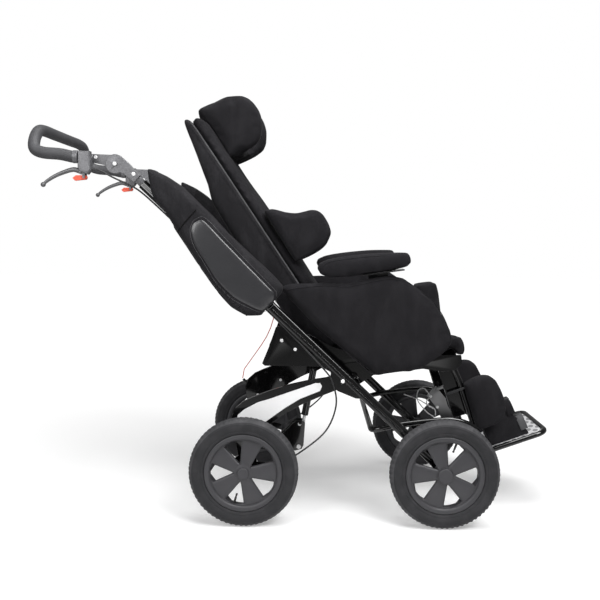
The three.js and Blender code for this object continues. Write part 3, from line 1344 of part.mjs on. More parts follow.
const armFlangeTop = () => ARM_PAD_BOTTOM + WELD_SINK;

// A flat post that slides between the side plate and the guard, with a flange for the pad.
function armPost(side) {
  const inner = side * (SIDE_PLATE_OUTER + SLIDE_GAP);
  const outer = inner + side * ARM_POST_THICKNESS;
  const top = armFlangeTop();
  const low = top - ARM_FLANGE_THICKNESS;
  const front = ARM_POST_FORWARD + ARM_POST_WIDTH;
  const post = block(
    ARM_POST_FORWARD,
    front,
    Math.min(inner, outer),
    Math.max(inner, outer),
    ARM_POST_BOTTOM,
    top - ARM_FLANGE_THICKNESS / 2,
  );
  const middle = ARM_POST_FORWARD + ARM_POST_WIDTH / 2;
  const reach = inner + side * (ARM_PAD_WIDTH - 2 * SOCKET_WALL);
  const outline = [
    [middle - ARM_FLANGE_LENGTH / 2, inner], [middle + ARM_FLANGE_LENGTH / 2, inner],
    [middle + ARM_FLANGE_LENGTH / 2, reach], [middle - ARM_FLANGE_LENGTH / 2, reach],
  ];
  return post.add(slab(outline, low, top));
}

function reclineAxle() {
  const outer = SIDE_PLATE_OUTER + TOUCH_GAP;
  const head = (side) => pin(
    RECLINE_AXLE_RADIUS + BOLT_HEAD_HEIGHT,
    side * outer,
    side * (outer + BOLT_HEAD_HEIGHT),
  );
  return join(pin(RECLINE_AXLE_RADIUS, -outer - WELD_SINK, outer + WELD_SINK), head(-1), head(1));
}

function addSeat(model) {
  const seat = frameAt(model, onRail(TILT_ALONG, TILT_ABOVE), SEAT_ANGLE);
  add(seat, 'seat_frame', seatFrame(), blackFrame);
  add(seat, 'seat_cushion', seatCushion(), fabric);
  add(seat, 'pommel', pommel(), fabric);
  sides.forEach(([name, side]) => {
    add(seat, `side_guard_${name}`, sideGuard(side), fabric);
    add(seat, `armrest_post_${name}`, armPost(side), blackFrame);
    add(seat, `armrest_pad_${name}`, armPad(side), fabric);
  });
  const back = frameAt(seat, [-RECLINE_BACK, RECLINE_HEIGHT], BACK_ANGLE);
  add(back, 'recline_axle', reclineAxle(), steel);
  addBack(back);
  addLegRest(frameAt(seat, [KNEE_FORWARD, KNEE_HEIGHT], LEG_ANGLE));
}

// Back, in a frame at the recline axle whose +Z axis runs up the back

// Shares of the shell's depth behind the cushion, and of the back's height.
const SHELL_SHARES = [
  [0, 0.988], [0.18, 1], [0.39, 0.894], [0.69, 0.76], [0.89, 0.7], [1, 0.469], [0.91, 0.19],
  [0.52, 0.048], [0, 0.028],
];

function backShell() {
  const outline = scaled(SHELL_SHARES, -SHELL_DEPTH, BACK_HEIGHT, SHELL_FACE);
  const body = padded(outline, -SHELL_HALF_WIDTH, SHELL_HALF_WIDTH, SHELL_BEVEL);
  const lug = (side) => plate([
    ...arc(BACK_LUG_RADIUS, 180, 360, 10),
    [BACK_LUG_RADIUS, 3 * BACK_LUG_RADIUS],
    [-BACK_LUG_RADIUS / 2, 3 * BACK_LUG_RADIUS],
  ], side * (SHELL_HALF_WIDTH - BACK_LUG_WIDTH), side * SHELL_HALF_WIDTH);
  const wide = SHELL_HALF_WIDTH + CUT_OVERRUN;
  const hole = bore(RECLINE_AXLE_RADIUS, -wide, wide);
  return join(body, lug(-1), lug(1)).subtract(hole).subtract(stem(SLIDE_GAP, CUT_OVERRUN));
}

// The back cushion lies against the shell. It is shaped lying down, then stood up.
function backCushion() {
  const height = BACK_CUSHION_TOP - BACK_CUSHION_BOTTOM;
  const thickness = BACK_CUSHION_THICKNESS + BACK_CUSHION_CROWN;
  const flat = cushion([height, 2 * BACK_HALF_WIDTH, thickness], [14, 8], {
    drawShare: 0.012,
    crown: BACK_CUSHION_CROWN,
    crownSpan: [[-0.55, 0.95], [-0.74, 0.74]],
    edgeInset: BACK_EDGE_INSET,
    channels: 3,
    channelDepth: BACK_CHANNEL_DEPTH,
  });
  return flat.rotate([0, 90, 0]).translate([
    BACK_FACE - BACK_CUSHION_THICKNESS,
    0,
    BACK_CUSHION_BOTTOM + height / 2,
  ]);
}

// Shares of the pad's length forwards and of its height, from its lower rear corner.
const TRUNK_PAD_SHARES = [
  [0, 0.06], [0.3, 0.015], [0.54, 0], [0.7, 0.016], [0.84, 0.08], [0.93, 0.13], [0.985, 0.27],
  [1, 0.43], [0.965, 0.53], [0.88, 0.6], [0.75, 0.642], [0.54, 0.733], [0.3, 0.888], [0.18, 0.963], [0, 1],
];

function trunkPad(side) {
  const outline = scaled(TRUNK_PAD_SHARES, TRUNK_PAD_LENGTH, TRUNK_PAD_HEIGHT, trunkPadRear(), TRUNK_PAD_BASE);
  const outer = side * TRUNK_PAD_REACH;
  return padded(outline, outer - side * TRUNK_PAD_THICKNESS, outer, TRUNK_PAD_BEVEL);
}

const trunkPadRear = () => BACK_FACE + TOUCH_GAP;

// Shares of the head pad's depth and height, from its lower rear corner.
const HEAD_PAD_SHARES = [
  [0, 0.06], [0.27, 0.035], [0.47, 0], [0.68, 0.01], [0.8, 0.083], [0.93, 0.243],
  [1, 0.43], [0.993, 0.6], [0.955, 0.7], [0.88, 0.785], [0.757, 0.85],
  [0.62, 0.917], [0.42, 0.95], [0.22, 0.98], [0, 1],
];

// The pad's hollow is round in plan, so its wings come forward past the ears.
function headPad() {
  const rear = headPadRear();
  const outline = scaled(HEAD_PAD_SHARES, HEAD_PAD_DEPTH, HEAD_PAD_HEIGHT, rear, HEAD_PAD_BASE);
  const body = padded(outline, -HEAD_PAD_HALF_WIDTH, HEAD_PAD_HALF_WIDTH, HEAD_PAD_BEVEL);
  const front = rear + HEAD_PAD_DEPTH;
  const floor = front - HEAD_HOLLOW_DEPTH;
  const hollow = roundedRectangle(
    2 * (HEAD_HOLLOW_DEPTH + CUT_OVERRUN),
    2 * HEAD_HOLLOW_HALF_WIDTH,
    0.6 * HEAD_HOLLOW_HALF_WIDTH,
    5,
  ).map(([x, y]) => [x + floor + HEAD_HOLLOW_DEPTH + CUT_OVERRUN, y]);
  const cutter = slab(hollow, HEAD_PAD_BASE - CUT_OVERRUN, HEAD_PAD_BASE + HEAD_PAD_HEIGHT + CUT_OVERRUN);
  return body.subtract(cutter).subtract(stem(SLIDE_GAP, 0));
}

const headPadRear = () => BACK_FACE + TOUCH_GAP;

// A flat stem that slides in the shell, bent forward over the cushion into the head pad.
function stem(clearance, overrun) {
  const half = STEM_HALF_WIDTH + clearance;
  const armLow = BACK_CUSHION_TOP + 2 * TOUCH_GAP - clearance;
  const armHigh = BACK_CUSHION_TOP + 2 * TOUCH_GAP + STEM_ARM_HEIGHT + clearance;
  const mast = block(
    STEM_BACK - clearance,
    STEM_BACK + STEM_THICKNESS + clearance,
    -half,
    half,
    armHigh - STEM_LENGTH - clearance,
    armHigh + overrun * 2,
  );
  const arm = block(
    STEM_BACK - clearance,
    headPadRear() + STEM_ARM_REACH + clearance,
    -half,
    half,
    armLow,
    armHigh + overrun * 2,
  );
  return mast.add(arm);
}

function addBack(back) {
  add(back, 'back_shell', backShell(), fabric);
  add(back, 'back_cushion', backCushion(), fabric);
  add(back, 'headrest_stem', stem(0, 0), blackFrame);
  add(back, 'headrest_pad', headPad(), fabric);
  sides.forEach(([name, side]) => add(back, `trunk_pad_${name}`, trunkPad(side), fabric));
}

// Leg rest, in a frame at the knee pivot whose -Z axis runs down the shin

const legTubeLine = () => LEG_TUBE_RADIUS / 4;

// One side: a plate with a knee disc, a bent tube down its front and a flange behind.
function legSide(side) {
  const inner = side * LEG_PLATE_INNER;
  const outer = inner + side * LEG_PLATE_THICKNESS;
  const disc = pin(KNEE_DISC_RADIUS, inner, outer);
  const rear = -LEG_DEPTH;
  const x = legTubeLine();
  const web = plate([
    [rear, -KNEE_DISC_RADIUS / 3],
    [rear + KNEE_DISC_RADIUS / 2, KNEE_DISC_RADIUS / 3],
    [-KNEE_DISC_RADIUS / 2, KNEE_DISC_RADIUS * 0.6],
    [x, 0],
    [x, -LEG_LENGTH],
    [rear, -LEG_LENGTH],
  ], inner, outer);
  const kneePin = pin(
    KNEE_PIN_RADIUS,
    inner + side * WELD_SINK,
    side * (KNEE_BRACKET_REACH - KNEE_BRACKET_THICKNESS + 2 * WELD_SINK),
  );
  const y = side * LEG_TUBE_MIDDLE;
  const front = tube(bentPath([
    point(-KNEE_DISC_RADIUS * 0.8, y, KNEE_DISC_RADIUS * 0.9),
    point(-LEG_TUBE_RADIUS / 2, y, KNEE_DISC_RADIUS / 3),
    point(-LEG_TUBE_RADIUS / 3, y, -KNEE_DISC_RADIUS),
    point(x, y, -LOWER_TUBE_TOP),
    point(x, y, -LEG_LENGTH),
  ], KNEE_DISC_RADIUS / 2), LEG_TUBE_RADIUS);
  const wide = [outer - side * WELD_SINK, outer + side * 2 * LEG_TUBE_RADIUS - side * LEG_PLATE_THICKNESS];
  const flange = block(
    rear - WELD_SINK,
    rear + LEG_PLATE_THICKNESS,
    Math.min(...wide),
    Math.max(...wide),
    -LEG_LENGTH,
    -KNEE_DISC_RADIUS,
  );
  const bolt = pin(
    BOLT_HEAD_RADIUS,
    outer - side * WELD_SINK,
    outer + side * BOLT_HEAD_HEIGHT,
    rear + LEG_PLATE_THICKNESS + 1.5 * BOLT_HEAD_RADIUS,
    -KNEE_DISC_RADIUS * 1.2,
    6,
  );
  return join(disc, web, kneePin, front, flange, bolt);
}

const CROSS_BAR_SHARES = [0.25, 0.6];

function legFrame() {
  const end = LEG_PLATE_INNER + WELD_SINK;
  const crossX = -LEG_CROSS_RADIUS - TOUCH_GAP;
  const bars = CROSS_BAR_SHARES.map((share) => (
    pin(LEG_CROSS_RADIUS, -end, end, crossX, -share * LEG_LENGTH, TUBE_SIDES)
  ));
  const x = legTubeLine();
  const bores = sides.map(([, side]) => tube([
    point(x, side * LEG_TUBE_MIDDLE, -LOWER_TUBE_TOP + CUT_OVERRUN),
    point(x, side * LEG_TUBE_MIDDLE, -LEG_LENGTH - CUT_OVERRUN),
  ], LOWER_TUBE_RADIUS + SLIDE_GAP));
  const body = join(legSide(-1), legSide(1), ...bars);
  return bores.reduce((whole, bore) => whole.subtract(bore), body);
}

// Shares of the calf pad's width forwards and of its height downwards, from its top rear corner.
const CALF_PAD_SHARES = [
  [0, -0.06], [0.2, -0.02], [0.4, 0], [0.6, 0], [0.8, -0.05], [0.93, -0.16], [0.99, -0.38],
  [1, -0.55], [0.97, -0.76], [0.83, -0.91], [0.54, -0.99], [0.22, -1], [0, -0.98],
];

function calfPad(side) {
  const rear = legTubeLine() + LEG_TUBE_RADIUS + TOUCH_GAP;
  const outline = scaled(CALF_PAD_SHARES, CALF_PAD_WIDTH - rear, CALF_PAD_HEIGHT, rear, -CALF_PAD_TOP);
  const outer = side * (LEG_TUBE_MIDDLE + CALF_PAD_OUTSET);
  return padded(outline, outer - side * CALF_PAD_THICKNESS, outer, CALF_PAD_BEVEL);
}

// The lock plate behind the lower cross bar, with its tapered nose.
const LOCK_SHARES = [
  [0.56, 0], [0, -0.175], [0.28, -0.6], [0.31, -0.66], [0.45, -0.975], [1, -1], [0.83, -0.63],
  [0.845, -0.41],
];

function legLock() {
  const half = LOCK_PLATE_THICKNESS / 2;
  const z = -CROSS_BAR_SHARES[1] * LEG_LENGTH;
  const barRear = -2 * (LEG_CROSS_RADIUS + TOUCH_GAP);
  const plateRear = barRear - LOCK_STANDOFF - LOCK_PLATE_WIDTH;
  const body = plate(
    scaled(LOCK_SHARES, LOCK_PLATE_WIDTH, LOCK_PLATE_HEIGHT, plateRear, z + LOCK_RISE),
    -half,
    half,
  );
  const foot = block(plateRear + LOCK_PLATE_WIDTH / 2, barRear, -3 * half, 3 * half, z - half, z + half);
  return body.add(foot);
}

function lowerLeg() {
  const x = legTubeLine();
  const y = LEG_TUBE_MIDDLE;
  const path = [
    point(x, -y, -LOWER_TUBE_TOP - LOWER_TUBE_RISE),
    point(x, -y, -FOOT_PIVOT_DROP),
    point(x, y, -FOOT_PIVOT_DROP),
    point(x, y, -LOWER_TUBE_TOP - LOWER_TUBE_RISE),
  ];
  return tube(bentPath(path, 2 * LOWER_TUBE_RADIUS), LOWER_TUBE_RADIUS);
}

function addLegRest(leg) {
  add(leg, 'leg_frame', legFrame(), blackFrame);
  add(leg, 'leg_lock', legLock(), castMetal);
  add(leg, 'lower_leg', lowerLeg(), blackFrame);
  sides.forEach(([name, side]) => add(leg, `calf_pad_${name}`, calfPad(side), fabric));
  const foot = frameAt(leg, [legTubeLine(), -FOOT_PIVOT_DROP], FOOT_ANGLE);
  addFootplate(foot);
}

// Footplate, in a frame at the foot pivot whose +X axis runs along the foot

function footFrame() {
  const start = FOOT_SLEEVE_RADIUS - WELD_SINK;
  const y = FOOT_HALF_WIDTH;
  const root = y - FOOT_SLEEVE_WIDTH;
  const turn = 2.5 * FOOT_SLEEVE_RADIUS;
  const path = [
    point(start - WELD_SINK, -root, 0), point(turn, -y, 0), point(FOOT_LENGTH, -y, 0),
    point(FOOT_LENGTH, y, 0), point(turn, y, 0), point(start - WELD_SINK, root, 0),
  ];
  const rimTube = tube(bentPath(path, FOOT_CORNER), FOOT_TUBE_RADIUS);
  const sleeves = sides.map(([, side]) => pin(
    FOOT_SLEEVE_RADIUS,
    side * (root - FOOT_SLEEVE_WIDTH / 2),
    side * (root + FOOT_SLEEVE_WIDTH / 2),
  ));
  const barRadius = TREAD_PLATE_THICKNESS / 2 + WELD_SINK;
  const bars = [TREAD_REAR + 2 * TREAD_PLATE_THICKNESS, 0.6 * FOOT_LENGTH].map((x) => (
    pin(barRadius, -y, y, x, treadTop() - TREAD_PLATE_THICKNESS - barRadius - TOUCH_GAP, CORD_SIDES)
  ));
  return join(rimTube, ...sleeves, ...bars).subtract(bore(LOWER_TUBE_RADIUS, -y, y));
}

function treadPlate() {
  const half = FOOT_HALF_WIDTH - FOOT_TUBE_RADIUS - TOUCH_GAP;
  const front = FOOT_LENGTH - FOOT_TUBE_RADIUS - TOUCH_GAP;
  const length = front - TREAD_REAR;
  const outline = roundedRectangle(length, 2 * half, FOOT_CORNER).map(([x, y]) => [x + TREAD_REAR + length / 2, y]);
  const low = treadTop() - TREAD_PLATE_THICKNESS;
  return slab(outline, low, treadTop());
}

const treadTop = () => TREAD_PLATE_THICKNESS - WELD_SINK + TOUCH_GAP;

// Shares of the sandal's length and height, from its heel on the tread.
const SANDAL_SHARES = [
  [0.03, 0], [0, 0.42], [0.05, 0.88], [0.2, 1], [0.5, 0.98], [0.66, 0.92], [0.73, 0.65], [1, 0.06], [1, 0],
];

// A heel cup: two side walls and a back wall, with an ankle strap and a toe strap across.
function sandal(side) {
  const low = treadTop() + TOUCH_GAP;
  const middle = side * SANDAL_CENTRE;
  const outline = scaled(SANDAL_SHARES, SANDAL_LENGTH, SANDAL_HEIGHT, SANDAL_REAR, low);
  const body = plate(outline, middle - SANDAL_HALF_WIDTH, middle + SANDAL_HALF_WIDTH);
  const inner = SANDAL_HALF_WIDTH - SANDAL_WALL;
  const hollow = plate([
    [SANDAL_REAR + 2.2 * SANDAL_WALL, low + SANDAL_WALL],
    [SANDAL_REAR + 2 * SANDAL_WALL, low + 0.5 * SANDAL_HEIGHT],
    [SANDAL_REAR + 3.5 * SANDAL_WALL, low + 2 * SANDAL_HEIGHT],
    [SANDAL_REAR + 2 * SANDAL_LENGTH, low + 2 * SANDAL_HEIGHT],
    [SANDAL_REAR + 2 * SANDAL_LENGTH, low + SANDAL_WALL],
  ], middle - inner, middle + inner);
  const straps = [[0.71, 0.8], [0.89, 0.36]].map(([along, up]) => {
    const x = SANDAL_REAR + along * SANDAL_LENGTH;
    const z = low + up * SANDAL_HEIGHT;
    const lean = STRAP_WIDTH / 4;
    return plate([
      [x - STRAP_THICKNESS - lean, z + STRAP_WIDTH / 2],
      [x - STRAP_THICKNESS + lean, z - STRAP_WIDTH / 2],
      [x + lean, z - STRAP_WIDTH / 2],
      [x - lean, z + STRAP_WIDTH / 2],
    ], middle - SANDAL_HALF_WIDTH, middle + SANDAL_HALF_WIDTH);
  });
  return join(body.subtract(hollow), ...straps);
}

function addFootplate(foot) {
  add(foot, 'footplate_frame', footFrame(), blackFrame);
  add(foot, 'footplate_tread', treadPlate(), treadMetal);
  sides.forEach(([name, side]) => add(foot, `foot_sandal_${name}`, sandal(side), fabric));
}

// Push handle

// The telescopic tube and the casting that carries the joint's outer disc,
// in the rail's own frame.
function handleTube(side) {
  const slide = bar(
    roundedRectangle(SLIDE_TUBE_WIDTH, SLIDE_TUBE_DEPTH, RAIL_CORNER - RAIL_WALL, 2),
    -JOINT_ALONG + 2 * JOINT_DISC_RADIUS,
    -JOINT_ALONG + 2 * JOINT_DISC_RADIUS + SLIDE_TUBE_LENGTH,
  );
  const outerFace = side * (JOINT_DISC_THICKNESS + TOUCH_GAP / 2);
  const innerFace = side * (TOUCH_GAP / 2);
  const disc = pin(JOINT_DISC_RADIUS, innerFace, outerFace, -JOINT_ALONG, -JOINT_BELOW, 18);
  const half = CASTING_DEPTH / 2;
  const neckEnd = -JOINT_ALONG + 2.7 * JOINT_DISC_RADIUS;
  const neck = plate([
    [-JOINT_ALONG, -JOINT_BELOW + JOINT_DISC_RADIUS * 0.98],
    [-JOINT_ALONG + JOINT_DISC_RADIUS, half + RAIL_WALL],
    [neckEnd, half],
    [neckEnd, -half],
    [-JOINT_ALONG + JOINT_DISC_RADIUS * 1.4, -half - RAIL_WALL],
    [-JOINT_ALONG, -JOINT_BELOW - JOINT_DISC_RADIUS * 0.5],
  ], innerFace, outerFace);
  const collar = bar(
    roundedRectangle(RAIL_WIDTH, CASTING_DEPTH, RAIL_CORNER),
    -JOINT_ALONG + 1.5 * JOINT_DISC_RADIUS,
    neckEnd,
  );
  const bolt = pin(
    JOINT_BOLT_RADIUS,
    outerFace - side * WELD_SINK,
    outerFace + side * BOLT_HEAD_HEIGHT,
    -JOINT_ALONG,
    -JOINT_BELOW,
  );
  return join(slide, disc, neck, collar, bolt);
}

// The handle is built in a frame at the joint discs that stays level.
function handleCasting(side) {
  const innerFace = side * (RAIL_MIDDLE - TOUCH_GAP / 2);
  const back = innerFace - side * JOINT_DISC_THICKNESS;
  const disc = pin(JOINT_DISC_RADIUS - WELD_SINK, back, innerFace, 0, 0, 18);
  const gripY = side * (GRIP_SPACING / 2);
  const clampBack = -GRIP_START;
  const clampFront = clampBack + CLAMP_LENGTH;
  const clampZ = GRIP_HEIGHT;
  const turn = clampFront - HANDLE_TUBE_RADIUS;
  const cheek = plate([
    [0, JOINT_DISC_RADIUS - WELD_SINK],
    [turn - WELD_SINK, clampZ + HANDLE_TUBE_RADIUS],
    [turn - WELD_SINK, clampZ - HANDLE_TUBE_RADIUS],
    [0, -JOINT_DISC_RADIUS / 3],
  ], back, innerFace);
  const neck = tube(bentPath([
    point(turn + HANDLE_TUBE_RADIUS, (back + innerFace) / 2, clampZ),
    point(turn, (back + innerFace) / 2, clampZ),
    point(turn - HANDLE_TUBE_RADIUS, gripY, clampZ),
    point(clampBack + CLAMP_LENGTH / 2, gripY, clampZ),
  ], HANDLE_TUBE_RADIUS / 2), HANDLE_TUBE_RADIUS, 10);
  const outline = scaled([
    [0, 1], [1, 1], [1.03, 0.6], [1.06, 0.18], [0.78, 0], [0.1, 0.12], [0, 0.3],
  ], CLAMP_LENGTH, CLAMP_HEIGHT, clampBack, CLAMP_TOP - CLAMP_HEIGHT);
  const half = CLAMP_WIDTH / 2;
  const clamp = plate(outline, gripY - half, gripY + half, BOLT_HEAD_HEIGHT, 1);
  const slotHalf = LEVER_RADIUS + SLIDE_GAP;
  const slot = plate(
    circleOutline(LEVER_HUB_RADIUS + 2 * LEVER_RADIUS, PIN_SIDES, -LEVER_BACK, -LEVER_DROP),
    gripY - slotHalf,
    gripY + slotHalf,
  );
  const hinge = pin(AXLE_RADIUS / 2, gripY - half + WELD_SINK, gripY + half - WELD_SINK, -LEVER_BACK, -LEVER_DROP, CORD_SIDES);
  const lugs = tabLugs(gripY, clampZ - CLAMP_HEIGHT / 2);
  return join(disc, cheek, neck, clamp).subtract(slot).add(hinge).add(lugs);
}

// The padded loop: side grips run back, bend up and inwards to a raised cross bar.
function handleGrip() {
  const y = GRIP_SPACING / 2;
  const low = GRIP_HEIGHT;
  const half = [
    point(-GRIP_START - GRIP_RADIUS, y, low),
    point(-0.65 * HANDLE_REACH, y, 0.24 * HANDLE_RISE),
    point(-0.86 * HANDLE_REACH, y, 0.28 * HANDLE_RISE),
    point(-0.97 * HANDLE_REACH, 0.975 * y, 0.4 * HANDLE_RISE),
    point(-HANDLE_REACH, 0.9 * y, 0.68 * HANDLE_RISE),
    point(-HANDLE_REACH, 0.78 * y, 0.93 * HANDLE_RISE),
    point(-HANDLE_REACH, 0.6 * y, HANDLE_RISE),
    point(-HANDLE_REACH, HANDLE_BAR_SHARE_OF_WIDTH * y, HANDLE_RISE),
  ];
  const curve = new THREE.CatmullRomCurve3(half, false, 'centripetal').getPoints(10);
  const near = [point(-GRIP_START - TOUCH_GAP, y, low), ...curve];
  const far = near.map((place) => point(place.x, -place.y, place.z)).reverse();
  return tube([...near, ...far], GRIP_RADIUS, 10);
}

const LEVER_SHARES = [[0, 0], [0.2, 0.05], [0.43, -0.01], [0.69, -0.12], [0.9, -0.25], [1, -0.34]];

function brakeLever(side) {
  const y = side * (GRIP_SPACING / 2);
  const blade = tube(
    LEVER_SHARES.map(([along, up]) => point(-LEVER_BACK - along * LEVER_LENGTH, y, -LEVER_DROP + up * LEVER_LENGTH)),
    LEVER_RADIUS,
  );
  const hub = pin(LEVER_HUB_RADIUS, y - LEVER_RADIUS, y + LEVER_RADIUS, -LEVER_BACK, -LEVER_DROP);
  const tip = LEVER_SHARES[LEVER_SHARES.length - 1];
  const ball = solid(new THREE.SphereGeometry(LEVER_BALL_RADIUS, 8, 6)).translate([
    -LEVER_BACK - tip[0] * LEVER_LENGTH,
    y,
    -LEVER_DROP + tip[1] * LEVER_LENGTH,
  ]);
  const hole = bore(AXLE_RADIUS / 2, y - LEVER_HUB_RADIUS, y + LEVER_HUB_RADIUS, -LEVER_BACK, -LEVER_DROP);
  return join(blade, hub, ball).subtract(hole);
}

// Shares of the tab's length and height, from its pin.
const TAB_SHARES = [
  [-0.8, -0.15], [-0.58, 0.34], [-0.2, 0.36], [0.12, 0.34], [0.18, -0.05], [0.1, -0.4], [-0.2, -0.5], [-0.65, -0.62],
];

const tabPin = () => [-LEVER_BACK + TAB_PIN_FORWARD, CLAMP_TOP - CLAMP_HEIGHT - TAB_DROP];

// The parking lock's tab turns between two lugs under the clamp.
function lockTab(side) {
  const y = side * (GRIP_SPACING / 2);
  const [x, z] = tabPin();
  const half = TAB_THICKNESS / 2;
  const body = plate(scaled(TAB_SHARES, TAB_LENGTH, TAB_HEIGHT, x, z), y - half, y + half);
  return body.subtract(bore(TAB_PIN_RADIUS, y - TAB_THICKNESS, y + TAB_THICKNESS, x, z));
}

// The two lugs, and the pin that the lock tab turns on.
function tabLugs(y, top) {
  const [x, z] = tabPin();
  const radius = TAB_PIN_RADIUS + WELD_SINK;
  const inner = TAB_THICKNESS / 2 + SLIDE_GAP;
  const outer = inner + TAB_LUG_THICKNESS;
  const outline = [...arc(radius, 180, 360, 6, x, z), [x + radius, top], [x - radius, top]];
  return join(
    pin(TAB_PIN_RADIUS, y - outer + WELD_SINK, y + outer - WELD_SINK, x, z, CORD_SIDES),
    plate(outline, y - outer, y - inner),
    plate(outline, y + inner, y + outer),
  );
}

function addHandle(model) {
  sides.forEach(([name, side]) => {
    const frame = frameAt(model, [FRONT_AXLE_X, WHEEL_RADIUS], -RAIL_ANGLE);
    frame.position.y = side * RAIL_MIDDLE;
    add(frame, `handle_tube_${name}`, handleTube(side), castMetal);
  });
  const handle = frameAt(model, onRail(JOINT_ALONG, -JOINT_BELOW));
  add(handle, 'handle_grip', handleGrip(), gripFoam);
  sides.forEach(([name, side]) => {
    add(handle, `handle_casting_${name}`, handleCasting(side), castMetal);
    add(handle, `brake_lever_${name}`, brakeLever(side), castMetal);
    add(handle, `lock_tab_${name}`, lockTab(side), redPlastic);
  });
}

// The chair is built where the front axle is given, then moved over the origin.
function wheelchair() {
  const chair = new THREE.Group();
  const model = new THREE.Group();
  chair.add(model);
  addWheels(model);
  const latchTop = addRearFrame(model);
  addChassis(model, latchTop);
  addStrut(model);
  addSeat(model);
  addHandle(model);
  model.updateMatrixWorld(true);
  const box = new THREE.Box3().setFromObject(model, true);
  model.position.x = -(box.min.x + box.max.x) / 2;
  chair.updateMatrixWorld(true);
  return chair;
}

export default wheelchair();
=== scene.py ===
import json
import math

import bmesh
import bpy
import numpy as np
from mathutils import Matrix, Vector
from mathutils.bvhtree import BVHTree


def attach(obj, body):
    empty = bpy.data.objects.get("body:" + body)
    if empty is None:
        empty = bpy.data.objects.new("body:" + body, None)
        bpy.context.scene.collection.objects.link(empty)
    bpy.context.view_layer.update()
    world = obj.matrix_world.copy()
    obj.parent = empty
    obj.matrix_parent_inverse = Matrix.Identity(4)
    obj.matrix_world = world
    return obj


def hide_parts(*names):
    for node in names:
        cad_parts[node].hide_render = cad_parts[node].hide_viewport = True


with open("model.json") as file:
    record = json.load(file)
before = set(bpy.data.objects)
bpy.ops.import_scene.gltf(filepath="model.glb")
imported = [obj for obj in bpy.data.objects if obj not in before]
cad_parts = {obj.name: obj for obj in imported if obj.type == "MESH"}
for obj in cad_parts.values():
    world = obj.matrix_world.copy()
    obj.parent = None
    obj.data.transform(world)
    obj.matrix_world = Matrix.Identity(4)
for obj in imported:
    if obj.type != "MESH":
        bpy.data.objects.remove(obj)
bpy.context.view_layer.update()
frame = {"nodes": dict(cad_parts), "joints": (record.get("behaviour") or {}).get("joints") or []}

# Frames of the chair. Lengths in the tables below are millimetres in these frames.

PIVOT = {joint["name"]: joint.get("pos_m") for joint in frame["joints"]}
SEAT_LIFT = 8
BACK_LEAN = 33.9
LEG_LEAN = 18.6
FOOT_LIFT = 19.8
RAIL_SLOPE = 43.27
ARM_LIFT = 42.4
RAIL_MIDDLE = 250
GRIP_MIDDLE = 275
SIDES = (("near", -1), ("far", 1))


class Place:
    """A frame in the chair's middle plane: an origin in metres and the lift of its +X axis."""

    def __init__(self, origin, lift):
        angle = math.radians(lift)
        self.origin = np.array((origin[0], 0.0, origin[2]))
        self.axes = np.array((
            (math.cos(angle), 0.0, math.sin(angle)),
            (0.0, 1.0, 0.0),
            (-math.sin(angle), 0.0, math.cos(angle)),
        ))

    def at(self, points):
        """Points given in millimetres in this frame, as metres in the chair's frame: the
        origin plus the sum of each coordinate times its axis."""
        return self.origin + np.asarray(points, float) / 1000 @ self.axes


SEAT = Place(PIVOT["seat_tilt"], SEAT_LIFT)
BACK = Place(PIVOT["back_recline"], BACK_LEAN)
LEG = Place(PIVOT["leg_rest_lift"], LEG_LEAN)
FOOT = Place(PIVOT["footplate_fold"], FOOT_LIFT)
HANDLE = Place(PIVOT["handle_angle"], 0)
RAIL = Place(PIVOT["front_wheel_near_spin"], -RAIL_SLOPE)
REAR = Place(PIVOT["rear_wheel_near_spin"], 0)
FOLD = Place(PIVOT["frame_fold"], ARM_LIFT)
TILT = Place(PIVOT["seat_tilt"], 0)
HINGE = Place(PIVOT["back_recline"], 0)
WORLD = Place((0, 0, 0), 0)

# Shader maths

WAVE_PITCH = 0.314


class Value:
    """A number that varies over a surface. Sums and products of it add Math nodes."""

    def __init__(self, finish, socket):
        self.finish = finish
        self.socket = socket

    def _with(self, operation, first, second):
        return self.finish.node("ShaderNodeMath", {"operation": operation}, [first, second])[0]

    def __add__(self, other):
        return self._with("ADD", self, other)

    def __mul__(self, other):
        return self._with("MULTIPLY", self, other)

    def __rmul__(self, other):
        return self._with("MULTIPLY", other, self)

    def between(self, low, high):
        """0 below low, 1 above high, and smooth between them."""
        return self.finish.node("ShaderNodeMapRange", {"interpolation_type": "SMOOTHSTEP"}, {
            "Value": self, "From Min": low, "From Max": high,
        })[0]


